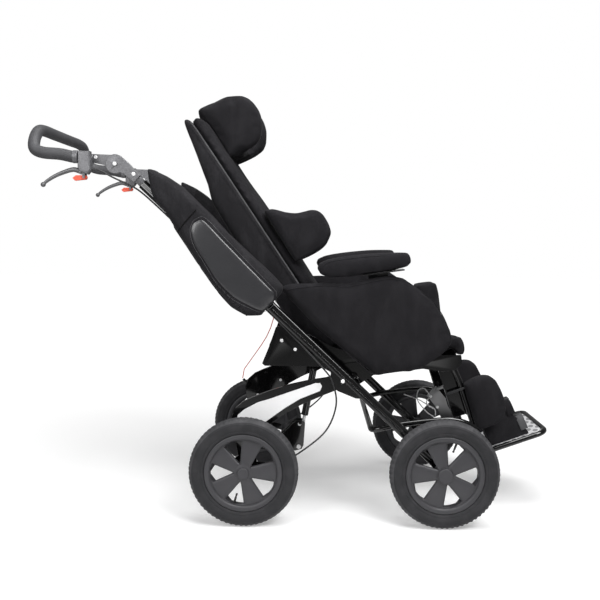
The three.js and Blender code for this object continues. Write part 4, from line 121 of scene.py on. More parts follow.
class Finish:
    """A material in the making, on one Principled shader."""

    def __init__(self, name, **shader):
        self.material = bpy.data.materials.new(name)
        self.material.use_nodes = True
        self.tree = self.material.node_tree
        self.shader = self.tree.nodes["Principled BSDF"]
        self.give(self.shader, {key.replace("_", " "): value for key, value in shader.items()})
        self.place = self.node("ShaderNodeTexCoord", {}, {})["Object"]

    def give(self, node, values):
        pairs = values.items() if isinstance(values, dict) else enumerate(values)
        for key, value in pairs:
            socket = node.inputs[key]
            if isinstance(value, Value):
                self.tree.links.new(value.socket, socket)
            elif isinstance(value, bpy.types.NodeSocket):
                self.tree.links.new(value, socket)
            elif isinstance(value, tuple) and len(value) == 3 and socket.type == "RGBA":
                socket.default_value = (*value, 1)
            else:
                socket.default_value = value

    def node(self, kind, settings, values):
        """A node, its settings made first; its outputs come back by name or by number."""
        node = self.tree.nodes.new(kind)
        for key, value in settings.items():
            setattr(node, key, value)
        self.give(node, values)
        return Outputs(self, node)

    def mixed(self, factor, low, high):
        """A colour between two colours."""
        mix = self.node("ShaderNodeMix", {"data_type": "RGBA"}, {})
        self.give(mix.node, {0: factor, 6: low, 7: high})
        return mix.node.outputs[2]

    def noise(self, scale, detail=3, stretch=(1, 1, 1)):
        """Cloudy values around 0.5. Scale counts the clouds in a metre."""
        where = self.node("ShaderNodeMapping", {}, {"Vector": self.place, "Scale": stretch})["Vector"]
        return self.node("ShaderNodeTexNoise", {}, {"Vector": where, "Scale": scale, "Detail": detail})[0]

    def stripes(self, axis, pitch, turn=(0.0, 0.0, 0.0)):
        """Sine stripes square to an axis, a pitch in metres apart, from 0 to 1. At a scale
        of one they would lie the wave pitch apart."""
        where = self.node("ShaderNodeMapping", {}, {"Vector": self.place, "Rotation": turn})["Vector"]
        return self.node(
            "ShaderNodeTexWave",
            {"wave_type": "BANDS", "bands_direction": axis},
            {"Vector": where, "Scale": WAVE_PITCH / pitch, "Distortion": 0.0},
        )[1]

    def bump(self, height, distance, under=None):
        """A normal bent by a height that is worth the distance in metres."""
        values = {"Height": height, "Distance": distance, "Strength": 1.0}
        if under is not None:
            values["Normal"] = under
        return self.node("ShaderNodeBump", {}, values)["Normal"]

    def done(self, **values):
        self.give(self.shader, {key.replace("_", " "): value for key, value in values.items()})
        return self.material


class Outputs:
    """The outputs of one node: single numbers come as a Value, others as sockets."""

    def __init__(self, finish, node):
        self.finish = finish
        self.node = node

    def __getitem__(self, key):
        socket = self.node.outputs[key]
        return Value(self.finish, socket) if socket.type == "VALUE" else socket


def woven(name, dark, light, pitch=0.0011, crease=0.0012):
    """Cloth: two crossing sets of fine ribs, soft creases whose low parts also get painted shade, and a
    slightly cloudy colour.
    """
    finish = Finish(name, Sheen_Weight=0.03, Sheen_Roughness=0.4, Specular_IOR_Level=0.15)
    warp = finish.stripes("DIAGONAL", pitch)
    weft = finish.stripes("DIAGONAL", pitch, (0, math.pi / 2, 0))
    weave = warp * weft
    cloud = finish.noise(14, 4)
    fuzz = finish.noise(900, 2)
    creases = finish.noise(26, 3, (1, 1, 0.45)).between(0.35, 0.75)
    # Painted shade: the crease share darkens the colour where the creases lie low and lightens it where they
    # rise.
    colour = finish.mixed(weave * 0.35 + cloud * 0.35 + creases * 0.3, dark, light)
    normal = finish.bump(weave + 0.3 * fuzz, 0.00025, finish.bump(creases, crease))
    return finish.done(Base_Color=colour, Roughness=cloud * 0.15 + 0.8, Normal=normal)


def glossy_paint():
    """Black powder coat: faint orange peel and a few dull rubs."""
    finish = Finish("frame_paint", Specular_IOR_Level=0.1, Coat_Roughness=0.06, Coat_IOR=1.5)
    peel = finish.noise(420, 2)
    rub = finish.noise(9, 5).between(0.55, 0.8)
    colour = finish.mixed(rub, (0.002, 0.002, 0.0022), (0.006, 0.006, 0.0068))
    return finish.done(
        Base_Color=colour,
        Roughness=rub * 0.18 + 0.22,
        Coat_Weight=1.0,
        Normal=finish.bump(peel, 0.00006),
    )


def casting(name, dark, light):
    """Satin cast metal: a fine grain and a slow drift of tone."""
    finish = Finish(name, Metallic=0.55)
    grain = finish.noise(520, 3)
    drift = finish.noise(22, 3)
    colour = finish.mixed(grain.between(0.3, 0.7) * 0.65 + drift * 0.35, dark, light)
    return finish.done(Base_Color=colour, Roughness=grain * 0.25 + 0.32, Normal=finish.bump(grain, 0.0002))


def bright_metal():
    """Zinc and polished rod: nearly even, with fine turning marks."""
    finish = Finish("bright_metal", Metallic=0.9)
    marks = finish.noise(700, 2, (1, 6, 1))
    colour = finish.mixed(marks, (0.62, 0.63, 0.64), (0.8, 0.8, 0.81))
    return finish.done(Base_Color=colour, Roughness=marks * 0.15 + 0.24)


def tyre_rubber(name, dark, light):
    """Charcoal rubber: dull, paler where dust lies in it, with a fine grain."""
    finish = Finish(name, Specular_IOR_Level=0.35)
    dust = finish.noise(30, 5).between(0.4, 0.75)
    grain = finish.noise(1200, 2)
    colour = finish.mixed(dust, dark, light)
    return finish.done(Base_Color=colour, Roughness=dust * 0.12 + 0.72, Normal=finish.bump(grain, 0.00012))


def moulded(name, dark, light, roughness=0.5):
    """Moulded plastic: a fine spark-eroded grain and a slow drift of tone."""
    finish = Finish(name)
    grain = finish.noise(1800, 2)
    drift = finish.noise(16, 3)
    colour = finish.mixed(drift, dark, light)
    return finish.done(
        Base_Color=colour,
        Roughness=grain * 0.12 + roughness,
        Normal=finish.bump(grain, 0.00007),
    )


def foam():
    """Closed foam of the push bar: a pebbled skin."""
    finish = Finish("grip_foam", Specular_IOR_Level=0.4)
    pebble = finish.noise(650, 3)
    drift = finish.noise(20, 3)
    colour = finish.mixed(drift, (0.035, 0.035, 0.038), (0.075, 0.075, 0.08))
    return finish.done(Base_Color=colour, Roughness=pebble * 0.2 + 0.5, Normal=finish.bump(pebble, 0.0003))


def vinyl():
    """The glossy pad on the rail covers: black vinyl with a soft sheen and a faint grain."""
    finish = Finish("vinyl_patch", Coat_Roughness=0.25)
    grain = finish.noise(700, 2)
    drift = finish.noise(12, 3)
    colour = finish.mixed(drift, (0.012, 0.012, 0.014), (0.03, 0.03, 0.033))
    return finish.done(
        Base_Color=colour,
        Roughness=grain * 0.1 + 0.3,
        Coat_Weight=0.5,
        Normal=finish.bump(grain, 0.00015),
    )


def painted_shade_cast():
    """The leg rest's lock plate: grey, with painted shade that darkens it down towards its nose."""
    finish = Finish("lock_cast", Metallic=0.3)
    grain = finish.noise(1200, 2)
    up = finish.node("ShaderNodeSeparateXYZ", {}, [finish.place])["Z"]
    # Painted shade: near black low down and grey higher up, as if lit from above.
    colour = finish.mixed(up.between(0.245, 0.3), (0.02, 0.02, 0.021), (0.3, 0.3, 0.305))
    return finish.done(Base_Color=colour, Roughness=grain * 0.15 + 0.38, Normal=finish.bump(grain, 0.00005))


def tread_metal():
    """Pressed aluminium: raised zigzag bars, bright on top and grey between."""
    finish = Finish("tread_metal", Metallic=0.35)
    ribs = finish.stripes("X", 0.024, (0, 0, 0.5)) * finish.stripes("X", 0.024, (0, 0, -0.5))
    scratch = finish.noise(300, 3, (1, 4, 1))
    top = ribs.between(0.1, 0.35)
    colour = finish.mixed(top, (0.75, 0.75, 0.76), (0.3, 0.3, 0.31))
    return finish.done(
        Base_Color=colour,
        Roughness=scratch * 0.2 + 0.3,
        Normal=finish.bump(top + 0.1 * scratch, 0.0008),
    )


CHARCOAL = woven("charcoal_cloth", (0.007, 0.0066, 0.008), (0.022, 0.021, 0.0235))
COVER_CLOTH = woven("cover_cloth", (0.008, 0.0076, 0.009), (0.031, 0.03, 0.033), 0.0014, 0.004)
PIPING = woven("grey_piping", (0.06, 0.06, 0.063), (0.13, 0.13, 0.134), 0.0009, 0.0002)
# Painted shadow: a near-black cloth for the cord that stands in for the shade in the cover's seam groove.
SEAM_SHADOW = woven("seam_shadow", (0.002, 0.002, 0.002), (0.005, 0.005, 0.005), 0.0009, 0.0002)
PAINT = glossy_paint()
CAST = casting("cast_grey", (0.07, 0.07, 0.075), (0.24, 0.24, 0.25))
STEEL = bright_metal()
RUBBER = tyre_rubber("tyre_rubber", (0.018, 0.018, 0.02), (0.032, 0.031, 0.034))
TREAD_RUBBER = tyre_rubber("tread_rubber", (0.04, 0.04, 0.043), (0.07, 0.069, 0.073))
WHEEL = moulded("wheel_plastic", (0.03, 0.0295, 0.033), (0.044, 0.043, 0.048), 0.42)
WHITE = moulded("panel_white", (0.78, 0.78, 0.79), (0.86, 0.86, 0.86), 0.3)
FOAM = foam()
SHEATH = moulded("cable_sheath", (0.01, 0.01, 0.011), (0.02, 0.02, 0.021), 0.4)
RED = moulded("signal_red", (0.7, 0.075, 0.03), (0.82, 0.1, 0.045), 0.35)
SATIN = casting("satin_metal", (0.06, 0.06, 0.063), (0.2, 0.2, 0.205))
ZINC = moulded("zinc_screw", (0.8, 0.8, 0.81), (0.9, 0.9, 0.9), 0.25)
VINYL = vinyl()
NOSE = painted_shade_cast()
PALE = moulded("pale_cable", (0.6, 0.6, 0.61), (0.75, 0.75, 0.76), 0.3)
TREAD = tread_metal()

# Mesh making

CREASE_ANGLE = 40
SHARP_EDGE = 38
MERGE_DISTANCE = 0.00002
FLAT_ANGLE = 1.5
HEAD_HEIGHT = 1.6
HEAD_SINK = 0.4


def placed(name, data):
    """A new object in the scene."""
    piece = bpy.data.objects.new(name, data)
    bpy.context.scene.collection.objects.link(piece)
    return piece


def both_sides(rows):
    """The rows of a table. A row with a star in its names stands for two, in which near
    and far take the place of the star."""
    for row in rows:
        for label, _ in SIDES if "*" in row[0] else SIDES[:1]:
            yield [value.replace("*", label) if isinstance(value, str) else value for value in row]


def keep(name, mesh, body, material, slot, *nodes):
    """Makes the object, puts it on its body and lets it stand for its CAD nodes. A mesh
    that has its materials already comes with none."""
    piece = placed(name, mesh)
    if material is not None:
        mesh.materials.append(material)
    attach(piece, body)
    if nodes:
        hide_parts(*nodes)
    return piece


def mesh_of(name, corners, faces, sharp):
    """A mesh with its faces turned outwards and its edges smooth below the sharp angle."""
    mesh = bpy.data.meshes.new(name)
    mesh.from_pydata(np.asarray(corners, float).reshape(-1, 3).tolist(), [], faces)
    tidy = bmesh.new()
    tidy.from_mesh(mesh)
    bmesh.ops.recalc_face_normals(tidy, faces=tidy.faces)
    tidy.to_mesh(mesh)
    tidy.free()
    mesh.shade_smooth()
    mesh.set_sharp_from_angle(angle=math.radians(sharp))
    return mesh


def grid_faces(rows, columns, closed):
    """Quads between neighbouring rows of a grid whose columns close into a ring. Where the
    grid is closed, the last row's neighbour is the first."""
    index = np.arange(rows * columns).reshape(rows, columns)
    if closed:
        index = np.concatenate([index, index[:1]])
    after = np.roll(index, -1, axis=1)
    return np.stack([index[:-1], after[:-1], after[1:], index[1:]], axis=-1).reshape(-1, 4).tolist()


def skinned(name, rings, closed=False, sharp=CREASE_ANGLE):
    """A skin over rings, an array [ring, point, xyz]. Each end ring is closed by one face,
    or the last ring joins the first."""
    rings = np.asarray(rings)
    rows, columns = rings.shape[:2]
    faces = grid_faces(rows, columns, closed)
    if not closed:
        faces += [list(range(columns))[::-1], list(range((rows - 1) * columns, rows * columns))]
    return mesh_of(name, rings, faces, sharp)


def joined(name, *meshes):
    """One mesh out of several."""
    whole = bmesh.new()
    for mesh in meshes:
        whole.from_mesh(mesh)
    made = bpy.data.meshes.new(name)
    whole.to_mesh(made)
    whole.free()
    return made


def smooth_path(points, bend, steps=6):
    """Straight runs with each inner corner rounded: the corner is replaced by a parabola
    that starts and ends a bend's length away from it."""
    points = np.asarray(points, float)
    path = [points[:1]]
    for before, corner, after in zip(points[:-2], points[1:-1], points[2:]):
        back, ahead = before - corner, after - corner
        reach = min(bend, np.linalg.norm(back) / 2, np.linalg.norm(ahead) / 2)
        start = corner + back / np.linalg.norm(back) * reach
        end = corner + ahead / np.linalg.norm(ahead) * reach
        t = np.linspace(0, 1, steps + 1)[:, None]
        path.append((1 - t) ** 2 * start + 2 * t * (1 - t) * corner + t ** 2 * end)
    path.append(points[-1:])
    return np.concatenate(path)


def spline(points, steps=10, closed=False):
    """A smooth curve through the points: on each run a cubic whose end slopes are half the
    way between the neighbours."""
    points = np.asarray(points, float)
    if closed:
        padded = np.concatenate([points[-1:], points, points[:2]])
    else:
        padded = np.concatenate([2 * points[:1] - points[1:2], points, 2 * points[-1:] - points[-2:-1]])
    p0, p1, p2, p3 = (padded[i:len(padded) - 3 + i][:, None] for i in range(4))
    t = np.linspace(0, 1, steps, endpoint=False)[None, :, None]
    run = 0.5 * (2 * p1 + (p2 - p0) * t + (2 * p0 - 5 * p1 + 4 * p2 - p3) * t ** 2
                 + (3 * p1 - p0 - 3 * p2 + p3) * t ** 3)
    run = run.reshape(-1, points.shape[1])
    return run if closed else np.concatenate([run, points[-1:]])


def ring_frames(path, closed=False):
    """Two directions square to a path at each of its points, carried along it with the
    least turn."""
    if closed:
        tangents = np.roll(path, -1, axis=0) - np.roll(path, 1, axis=0)
    else:
        tangents = np.gradient(path, axis=0)
    tangents /= np.linalg.norm(tangents, axis=1)[:, None]
    side = np.array((0.0, 1.0, 0.0))
    if abs(tangents[0] @ side) > 0.9:
        side = np.array((1.0, 0.0, 0.0))
    normals = []
    for tangent in tangents:
        side = side - tangent * (side @ tangent)
        side = side / np.linalg.norm(side)
        normals.append(side)
    normals = np.array(normals)
    return normals, np.cross(tangents, normals)


def swept(name, path, section, closed=False):
    """A section [across, up], or one for each point, carried along a path: each ring is
    the path's point plus the section's two coordinates times the two directions square to
    the path."""
    normals, seconds = ring_frames(path, closed)
    across, up = section[..., 0:1], section[..., 1:2]
    rings = path[:, None] + across * normals[:, None] + up * seconds[:, None]
    return skinned(name, rings, closed)


def circle(radius, sides=20):
    """Points on a circle: the radius times the cosine and sine of evenly spaced angles."""
    angle = np.linspace(0, 2 * math.pi, sides, endpoint=False)
    return radius * np.stack([np.cos(angle), np.sin(angle)], axis=1)


def round_box(width, height, corner, steps=6):
    """A rectangle whose corners are quarter circles of the corner radius."""
    quarter = np.linspace(0, math.pi / 2, steps + 1)
    parts = []
    for turn, (right, up) in enumerate(((1, 1), (-1, 1), (-1, -1), (1, -1))):
        angle = quarter + turn * math.pi / 2
        parts.append(np.stack([
            right * (width / 2 - corner) + corner * np.cos(angle),
            up * (height / 2 - corner) + corner * np.sin(angle),
        ], axis=1))
    return np.concatenate(parts)


def around(radius, y, angle, centre):
    """Points round an axis along Y through the centre, in metres: the radius times the
    angle's cosine, y, and the radius times its sine."""
    parts = np.broadcast_arrays(radius * np.cos(angle), y, radius * np.sin(angle))
    return np.stack(parts, axis=-1) / 1000 + np.asarray(centre)


def turned(name, profile, centre, segments, sharp=CREASE_ANGLE, closed=False):
    """A profile [radius, y] turned round an axis along Y: each point becomes a ring."""
    profile = np.asarray(profile, float)
    angle = np.linspace(0, 2 * math.pi, segments, endpoint=False)
    return skinned(name, around(profile[:, 0:1], profile[:, 1:2], angle, centre), closed, sharp)


def flat(name, place, outline, low, high):
    """A plate square to Y: an outline [x, z] in a frame, from one Y to the other."""
    outline = np.asarray(outline, float)
    rings = [np.insert(outline, 1, y, axis=1) for y in (low, high)]
    return skinned(name, place.at(rings))


def rod(name, place, x, z, low, high, radius, sides=28):
    """A round bar along Y."""
    return flat(name, place, circle(radius, sides) + (x, z), low, high)


def pipe(name, place, points, radius, bend=None, sides=18, steps=6):
    """A round tube through points of a frame: straight runs with corners rounded by the
    bend, or a smooth curve where there is no bend."""
    path = spline(points, steps) if bend is None else smooth_path(points, bend, steps)
    return swept(name, place.at(path), circle(radius / 1000, sides))


def cap_screw(place, x, z, y, side, radius):
    """A low domed screw head with a round socket, facing out along Y: its profile of
    shares of the radius and the height, turned round its axis."""
    profile = [
        (0.1, y + side * HEAD_HEIGHT * 0.3), (radius * 0.38, y + side * HEAD_HEIGHT * 0.3),
        (radius * 0.42, y + side * HEAD_HEIGHT), (radius * 0.75, y + side * HEAD_HEIGHT),
        (radius, y + side * HEAD_HEIGHT * 0.4), (radius, y - side * HEAD_SINK), (0.1, y - side * HEAD_SINK),
    ]
    return turned("screw", profile, place.at((x, 0, z)), 24)


def assembled(name, body, material, slot, nodes, meshes, edge=0.0):
    """One object out of several meshes, in place of its CAD nodes."""
    piece = keep(name, joined(name, *meshes), body, material, slot, *nodes)
    if edge:
        softened(piece, edge)


def copied(name, node):
    """A merged copy of a CAD node's mesh, with its flat faces made whole."""
    mesh = frame["nodes"][node].data.copy()
    mesh.name = name
    mesh.materials.clear()
    work = bmesh.new()
    work.from_mesh(mesh)
    bmesh.ops.remove_doubles(work, verts=work.verts, dist=MERGE_DISTANCE)
    bmesh.ops.dissolve_limit(
        work, angle_limit=math.radians(FLAT_ANGLE), verts=work.verts, edges=work.edges,
    )
    work.to_mesh(mesh)
    work.free()
    return mesh


def softened(piece, width):
    """Rounds the sharp edges of a piece."""
    bevel = piece.modifiers.new("edges", "BEVEL")
    bevel.width = width
    bevel.segments = 2
    bevel.limit_method = "ANGLE"
    bevel.angle_limit = math.radians(SHARP_EDGE)
    bevel.harden_normals = False


def dressed(node, body, material, slot, edge):
    """A CAD node in its finish, with its sharp edges rounded."""
    mesh = copied(f"{node}_finished", node)
    mesh.shade_smooth()
    mesh.set_sharp_from_angle(angle=math.radians(SHARP_EDGE))
    softened(keep(f"{node}_finished", mesh, body, material, slot, node), edge)


# Soft pieces

CLOTH_STEPS = 20
CLOTH_SETTINGS = (
    ("quality", 4), ("mass", 0.3), ("tension_stiffness", 20), ("compression_stiffness", 20),
    ("bending_stiffness", 0.6), ("use_pressure", True), ("uniform_pressure_force", 4.0),
)
OUTSIDE = 0.6


def apply_all(piece):
    """Makes a piece's modifiers part of its mesh."""
    shape = piece.evaluated_get(bpy.context.evaluated_depsgraph_get())
    made = bpy.data.meshes.new_from_object(shape)
    piece.modifiers.clear()
    old = piece.data
    piece.data = made
    bpy.data.meshes.remove(old)


def corners_of(mesh):
    places = np.empty(len(mesh.vertices) * 3)
    mesh.vertices.foreach_get("co", places)
    return places.reshape(-1, 3)


def set_corners(mesh, places):
    mesh.vertices.foreach_set("co", np.ascontiguousarray(places).ravel())
    mesh.update()


def swollen(node, body, material, voxel, cap, fill):
    """A padded piece: the CAD solid is remeshed, drawn in a little, blown up as cloth and
    held within the cap of where it started. A cap of zero leaves the cloth out."""
    name = f"{node}_soft"
    piece = placed(name, copied(name, node))
    remesh = piece.modifiers.new("remesh", "REMESH")
    remesh.mode = "VOXEL"
    remesh.voxel_size = voxel
    relaxed = piece.modifiers.new("relaxed", "SMOOTH")
    relaxed.iterations = 4 if cap else 2
    relaxed.factor = 0.5
    apply_all(piece)
    start = corners_of(piece.data)
    if cap:
        cloth = piece.modifiers.new("cloth", "CLOTH")
        for setting, value in CLOTH_SETTINGS:
            setattr(cloth.settings, setting, value)
        cloth.settings.effector_weights.gravity = 0
        cloth.point_cache.frame_start = 1
        cloth.point_cache.frame_end = CLOTH_STEPS
        scene = bpy.context.scene
        for step in range(1, CLOTH_STEPS + 1):
            scene.frame_set(step)
        apply_all(piece)
        scene.frame_set(1)
        moved = corners_of(piece.data) - start
        length = np.linalg.norm(moved, axis=1)[:, None]
        moved *= np.minimum(1, cap / np.maximum(length, 1e-9))
        set_corners(piece.data, start + moved)
    piece.data.shade_smooth()
    round_off = piece.modifiers.new("round", "SUBSURF")
    round_off.levels = round_off.render_levels = 1
    piece.data.materials.append(material)
    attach(piece, body)
    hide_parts(node)
    return piece


# Node, body, cloth, voxel and cap in metres, and fill of each padded piece.
SOFT = (
    ("seat_cushion", "seat", CHARCOAL, 0.008, 0.010, 0.75),
    ("pommel", "seat", CHARCOAL, 0.005, 0.006, 0.8),
    ("side_guard_near", "seat", CHARCOAL, 0.006, 0.006, 0.8),
    ("side_guard_far", "seat", CHARCOAL, 0.007, 0.006, 0.8),
    ("armrest_pad_*", "armrest_*", CHARCOAL, 0.005, 0.005, 0.9),
    ("back_shell", "back", COVER_CLOTH, 0.009, 0.004, 0.5),
    ("back_cushion", "back", CHARCOAL, 0.009, 0.010, 0.7),
    ("headrest_pad", "headrest", CHARCOAL, 0.006, 0.006, 0.8),
    ("trunk_pad_*", "trunk_support_*", CHARCOAL, 0.006, 0.006, 0.8),
    ("calf_pad_*", "leg_rest", CHARCOAL, 0.005, 0.006, 0.8),
    ("rail_cover_near", "chassis", COVER_CLOTH, 0.005, 0.005, 0.5),
    ("rail_cover_far", "chassis", COVER_CLOTH, 0.006, 0.005, 0.5),
    ("foot_sandal_*", "footplate", COVER_CLOTH, 0.0018, 0.0, 0.6),
)

PADDED = {row[0]: swollen(*row) for row in both_sides(SOFT)}


def surface_of(node):
    return BVHTree.FromObject(PADDED[node], bpy.context.evaluated_depsgraph_get())


def draped(surface, points, side, lift):
    """Points in metres carried along Y on to the outer side of a soft piece: each takes
    the Y of the first place that a line from outside meets, plus the lift. A point whose
    line misses takes the depth of the one before."""
    inwards = Vector((0, -side, 0))
    hits = [surface.ray_cast(Vector((x, side * OUTSIDE, z)), inwards)[0] for x, _, z in points]
    depth = next((hit.y for hit in hits if hit is not None), 0.0)
    places = []
    for (x, _, z), hit in zip(points, hits):
        depth = depth if hit is None else hit.y
        places.append((x, depth + side * lift, z))
    return np.array(places)


def beading(name, node, body, place, line, side, radius, material, closed=True):
    """A cord sewn on to a soft piece along a line [x, z]: a smooth curve whose middle lies
    0.4 of its radius above the surface, its depth evened out over five neighbours."""
    line = spline(line, 8, closed)
    path = draped(surface_of(node), place.at(np.insert(line, 1, 0, axis=1)), side, radius * 0.0004)
    depth = path[:, 1]
    if closed:
        path[:, 1] = sum(np.roll(depth, shift) for shift in range(-2, 3)) / 5
    else:
        path[2:-2, 1] = sum(depth[2 + shift:len(depth) - 2 + shift] for shift in range(-2, 3)) / 5
    keep(name, swept(name, path, circle(radius / 1000, 8), closed), body, material, "dark_fabric")


def cover_patch(label, side):
    """The raised panel on a rail cover: rings shrink from its outline to its middle, each
    laid on the surface plus a lift that rounds up from just under it."""
    outline = spline(PATCH_OUTLINE, 6, closed=True)
    middle = outline.mean(axis=0)
    surface = surface_of(f"rail_cover_{label}")
    rings = []
    for share, lift in PATCH_SHARES:
        line = np.insert(middle + share * (outline - middle), 1, 0, axis=1)
        rings.append(draped(surface, RAIL.at(line), side, lift * PATCH_HEIGHT / 1000))
    name = f"cover_patch_{label}"
    keep(name, skinned(name, rings), "chassis", VINYL, "dark_fabric")


PATCH_OUTLINE = (
    (-988, 30), (-972, 47), (-900, 45), (-800, 41), (-712, 38), (-696, 34), (-682, 16), (-681, -2),
    (-690, -23), (-728, -38), (-774, -49), (-835, -47), (-892, -33), (-944, -20), (-976, -2), (-987, 14),
)
COVER_SEAM = ((-1010, 53), (-1010, 30), (-1009, 0), (-1007, -20), (-1006.5, -28))
GUARD_LINE = (
    (-172, 286), (-140, 294), (-60, 291), (10, 279), (60, 282), (130, 286), (180, 272), (222, 240),
    (256, 200), (280, 155), (292, 110), (293, 76), (268, 46), (214, 16), (165, 6), (100, 7), (50, 8),
    (32, 26), (-36, 104), (-94, 165), (-146, 236),
)
ARM_LINE = ((-58, 322), (-50, 341), (-30, 350), (10, 352), (75, 351), (130, 348))
PATCH_MIDDLE = (-835, 0)
PATCH_HEIGHT = 4.6
PATCH_SHARES = (
    (1.0, -0.4), (1.0, 0.12), (0.985, 0.34), (0.96, 0.56), (0.92, 0.75), (0.86, 0.88), (0.76, 0.96),
    (0.55, 1.0), (0.25, 1.0), (0.02, 1.0),
)
STITCH_SHARES = (1.035, 1.16)
GUARD_MIDDLE = (80, 150)
GUARD_SHARES = (0.972, 0.955)
FOLD_COUNT = 9
FOLD_START = -706
FOLD_PITCH = -17
FOLD_LINE = ((0, -54), (-2, -59), (-4, -63))


def resized(line, middle, shares):
    """A line [x, z] drawn nearer to a middle, or further out, by a share along x and z."""
    return np.array(middle) + (np.array(line, float) - middle) * shares


def sewn_lines(label, side):
    """The patch, stitching, painted seam shadow and gathers of a rail cover, and the piping of the side
    guard and the armrest pad on the same side."""
    cover_patch(label, side)
    sewn = (f"rail_cover_{label}", "chassis", RAIL)
    stitch = resized(PATCH_OUTLINE, PATCH_MIDDLE, STITCH_SHARES) + (0, 0.6)
    beading(f"cover_stitch_{label}", *sewn, stitch, side, 0.55, PIPING)
    # The seam is a dark cord that paints the shadow in its groove.
    beading(f"cover_seam_shadow_{label}", *sewn, COVER_SEAM, side, 1.8, SEAM_SHADOW, closed=False)
    for index in range(FOLD_COUNT):
        gather = [(FOLD_START + FOLD_PITCH * index + x, z) for x, z in FOLD_LINE]
        beading(f"cover_fold_{index}_{label}", *sewn, gather, side, 2.0, COVER_CLOTH, closed=False)
    guard = resized(GUARD_LINE, GUARD_MIDDLE, GUARD_SHARES)
    beading(f"guard_piping_{label}", f"side_guard_{label}", "seat", SEAT, guard, side, 1.3, CHARCOAL)
    beading(f"armrest_piping_{label}", f"armrest_pad_{label}", f"armrest_{label}", SEAT, ARM_LINE, side, 1.0,
            CHARCOAL, closed=False)


for label, side in SIDES:
    sewn_lines(label, side)

BACK_PIPING = ((46, 20), (46, 200), (46, 400), (46, 620), (45, 770), (42, 800))
BACK_HALF = 181.5
for label, side in SIDES:
    line = [(x, side * BACK_HALF, z) for x, z in BACK_PIPING]
    keep(f"back_piping_{label}", pipe("piping", BACK, line, 2.0, sides=10), "back", PIPING, "dark_fabric")

# Wheels

# End, hub cap radius and turn of the spokes in degrees.
WHEELS = (("rear", 16, -70), ("front", 21, 106))
TREAD_BLOCKS = 66
TREAD_CUT = 2.4
TREAD_MIDDLE = 7
TREAD_EDGE = 18
TREAD_START = 143.5
SHOULDER_START = 150
SPOKE_COUNT = 5
SPOKE_START = 22
SPOKE_END = 95
SPOKE_STEPS = 27
SPOKE_HUB = 30
SPOKE_HUB_HALF = 16
SPOKE_SPREAD = 0.22
SPOKE_FLARE = 36.2
INNER_FLARE = 6
INNER_FLARE_END = 33
OUTER_FLARE = 5
OUTER_FLARE_START = 89
SPOKE_OUTBOARD = 6
SPOKE_DISH = 5
SPOKE_HALF_DEPTH = 6.5
SPOKE_CROWN = 2.6


def tyre_profile():
    """The tyre's section [radius, y] at rest: bead, sidewall with two rings, tread."""
    outer = [
        (108.6, -14.8), (110.0, -16.4), (111.2, -19.4), (113.0, -21.2), (115.6, -22.0), (118.6, -22.8),
        (119.6, -22.2), (120.8, -22.9), (126.0, -24.4), (130.5, -25.0), (135.0, -24.8), (139.0, -23.8),
        (140.4, -24.0), (141.6, -23.0), (145.0, -21.0), (148.4, -18.6), (150.6, -17.2), (152.4, -14.4),
        (153.2, -11.6), (154.4, -8.0), (154.8, -4.0), (155.0, 0.0),
    ]
    return np.array(outer + [(radius, -y) for radius, y in outer[-2::-1]])


def tyre(name, centre):
    """A tyre: its profile turned round the axle. The tread is cut into blocks: on half of
    the steps of each block the radius is lower, by turns in the middle and the shoulders."""
    profile = tyre_profile()
    segments = 4 * TREAD_BLOCKS
    angle = np.linspace(0, 2 * math.pi, segments, endpoint=False)
    turn = np.arange(segments) % 4
    radius, y = profile[:, 0:1], profile[:, 1:2]
    middle = np.abs(y) < TREAD_MIDDLE
    shoulder = (np.abs(y) >= TREAD_MIDDLE) & (np.abs(y) < TREAD_EDGE) & (radius > SHOULDER_START)
    radius = radius - TREAD_CUT * ((turn < 2) & middle) - TREAD_CUT * ((turn >= 2) & shoulder)
    return skinned(name, around(radius, y, angle, centre), closed=True, sharp=35)


def finer(outline, longest):
    """The same closed outline, its sides cut so that none is longer than given."""
    points = []
    for start, end in zip(outline, np.roll(outline, -1, axis=0)):
        count = max(1, math.ceil(np.linalg.norm(end - start) / longest))
        points.extend(start + (end - start) * index / count for index in range(count))
    return np.array(points)


def spoke(centre, angle, side):
    """A spoke from the hub to the rim: at each distance from the axle a rounded section
    whose half width grows evenly from 16 mm at the hub's edge to 30 mm at the rim, with a
    small flare at both ends, and whose middle moves outboard towards the hub."""
    distance = np.linspace(SPOKE_START, SPOKE_END, SPOKE_STEPS)
    half = np.arcsin((SPOKE_HUB_HALF + SPOKE_SPREAD * (distance - SPOKE_HUB)) / distance)
    inner = np.clip((INNER_FLARE_END - distance) / INNER_FLARE, 0, 1) ** 2
    outer = np.clip((distance - OUTER_FLARE_START) / OUTER_FLARE, 0, 1) ** 2
    half = half + (math.radians(SPOKE_FLARE) - half) * np.clip(outer + inner, 0, 1)
    inwards = (SPOKE_END - distance) / (SPOKE_END - SPOKE_START)
    middle = side * (SPOKE_OUTBOARD + SPOKE_DISH * inwards)
    section = finer(round_box(2, 2, 0.35, 4), 0.2)
    swing = angle + half[:, None] * section[None, :, 0]
    across = np.abs(section[None, :, 0])
    y = middle[:, None] + side * (SPOKE_HALF_DEPTH * section[None, :, 1] - SPOKE_CROWN * across ** 2)
    return around(distance[:, None], y, swing, centre)


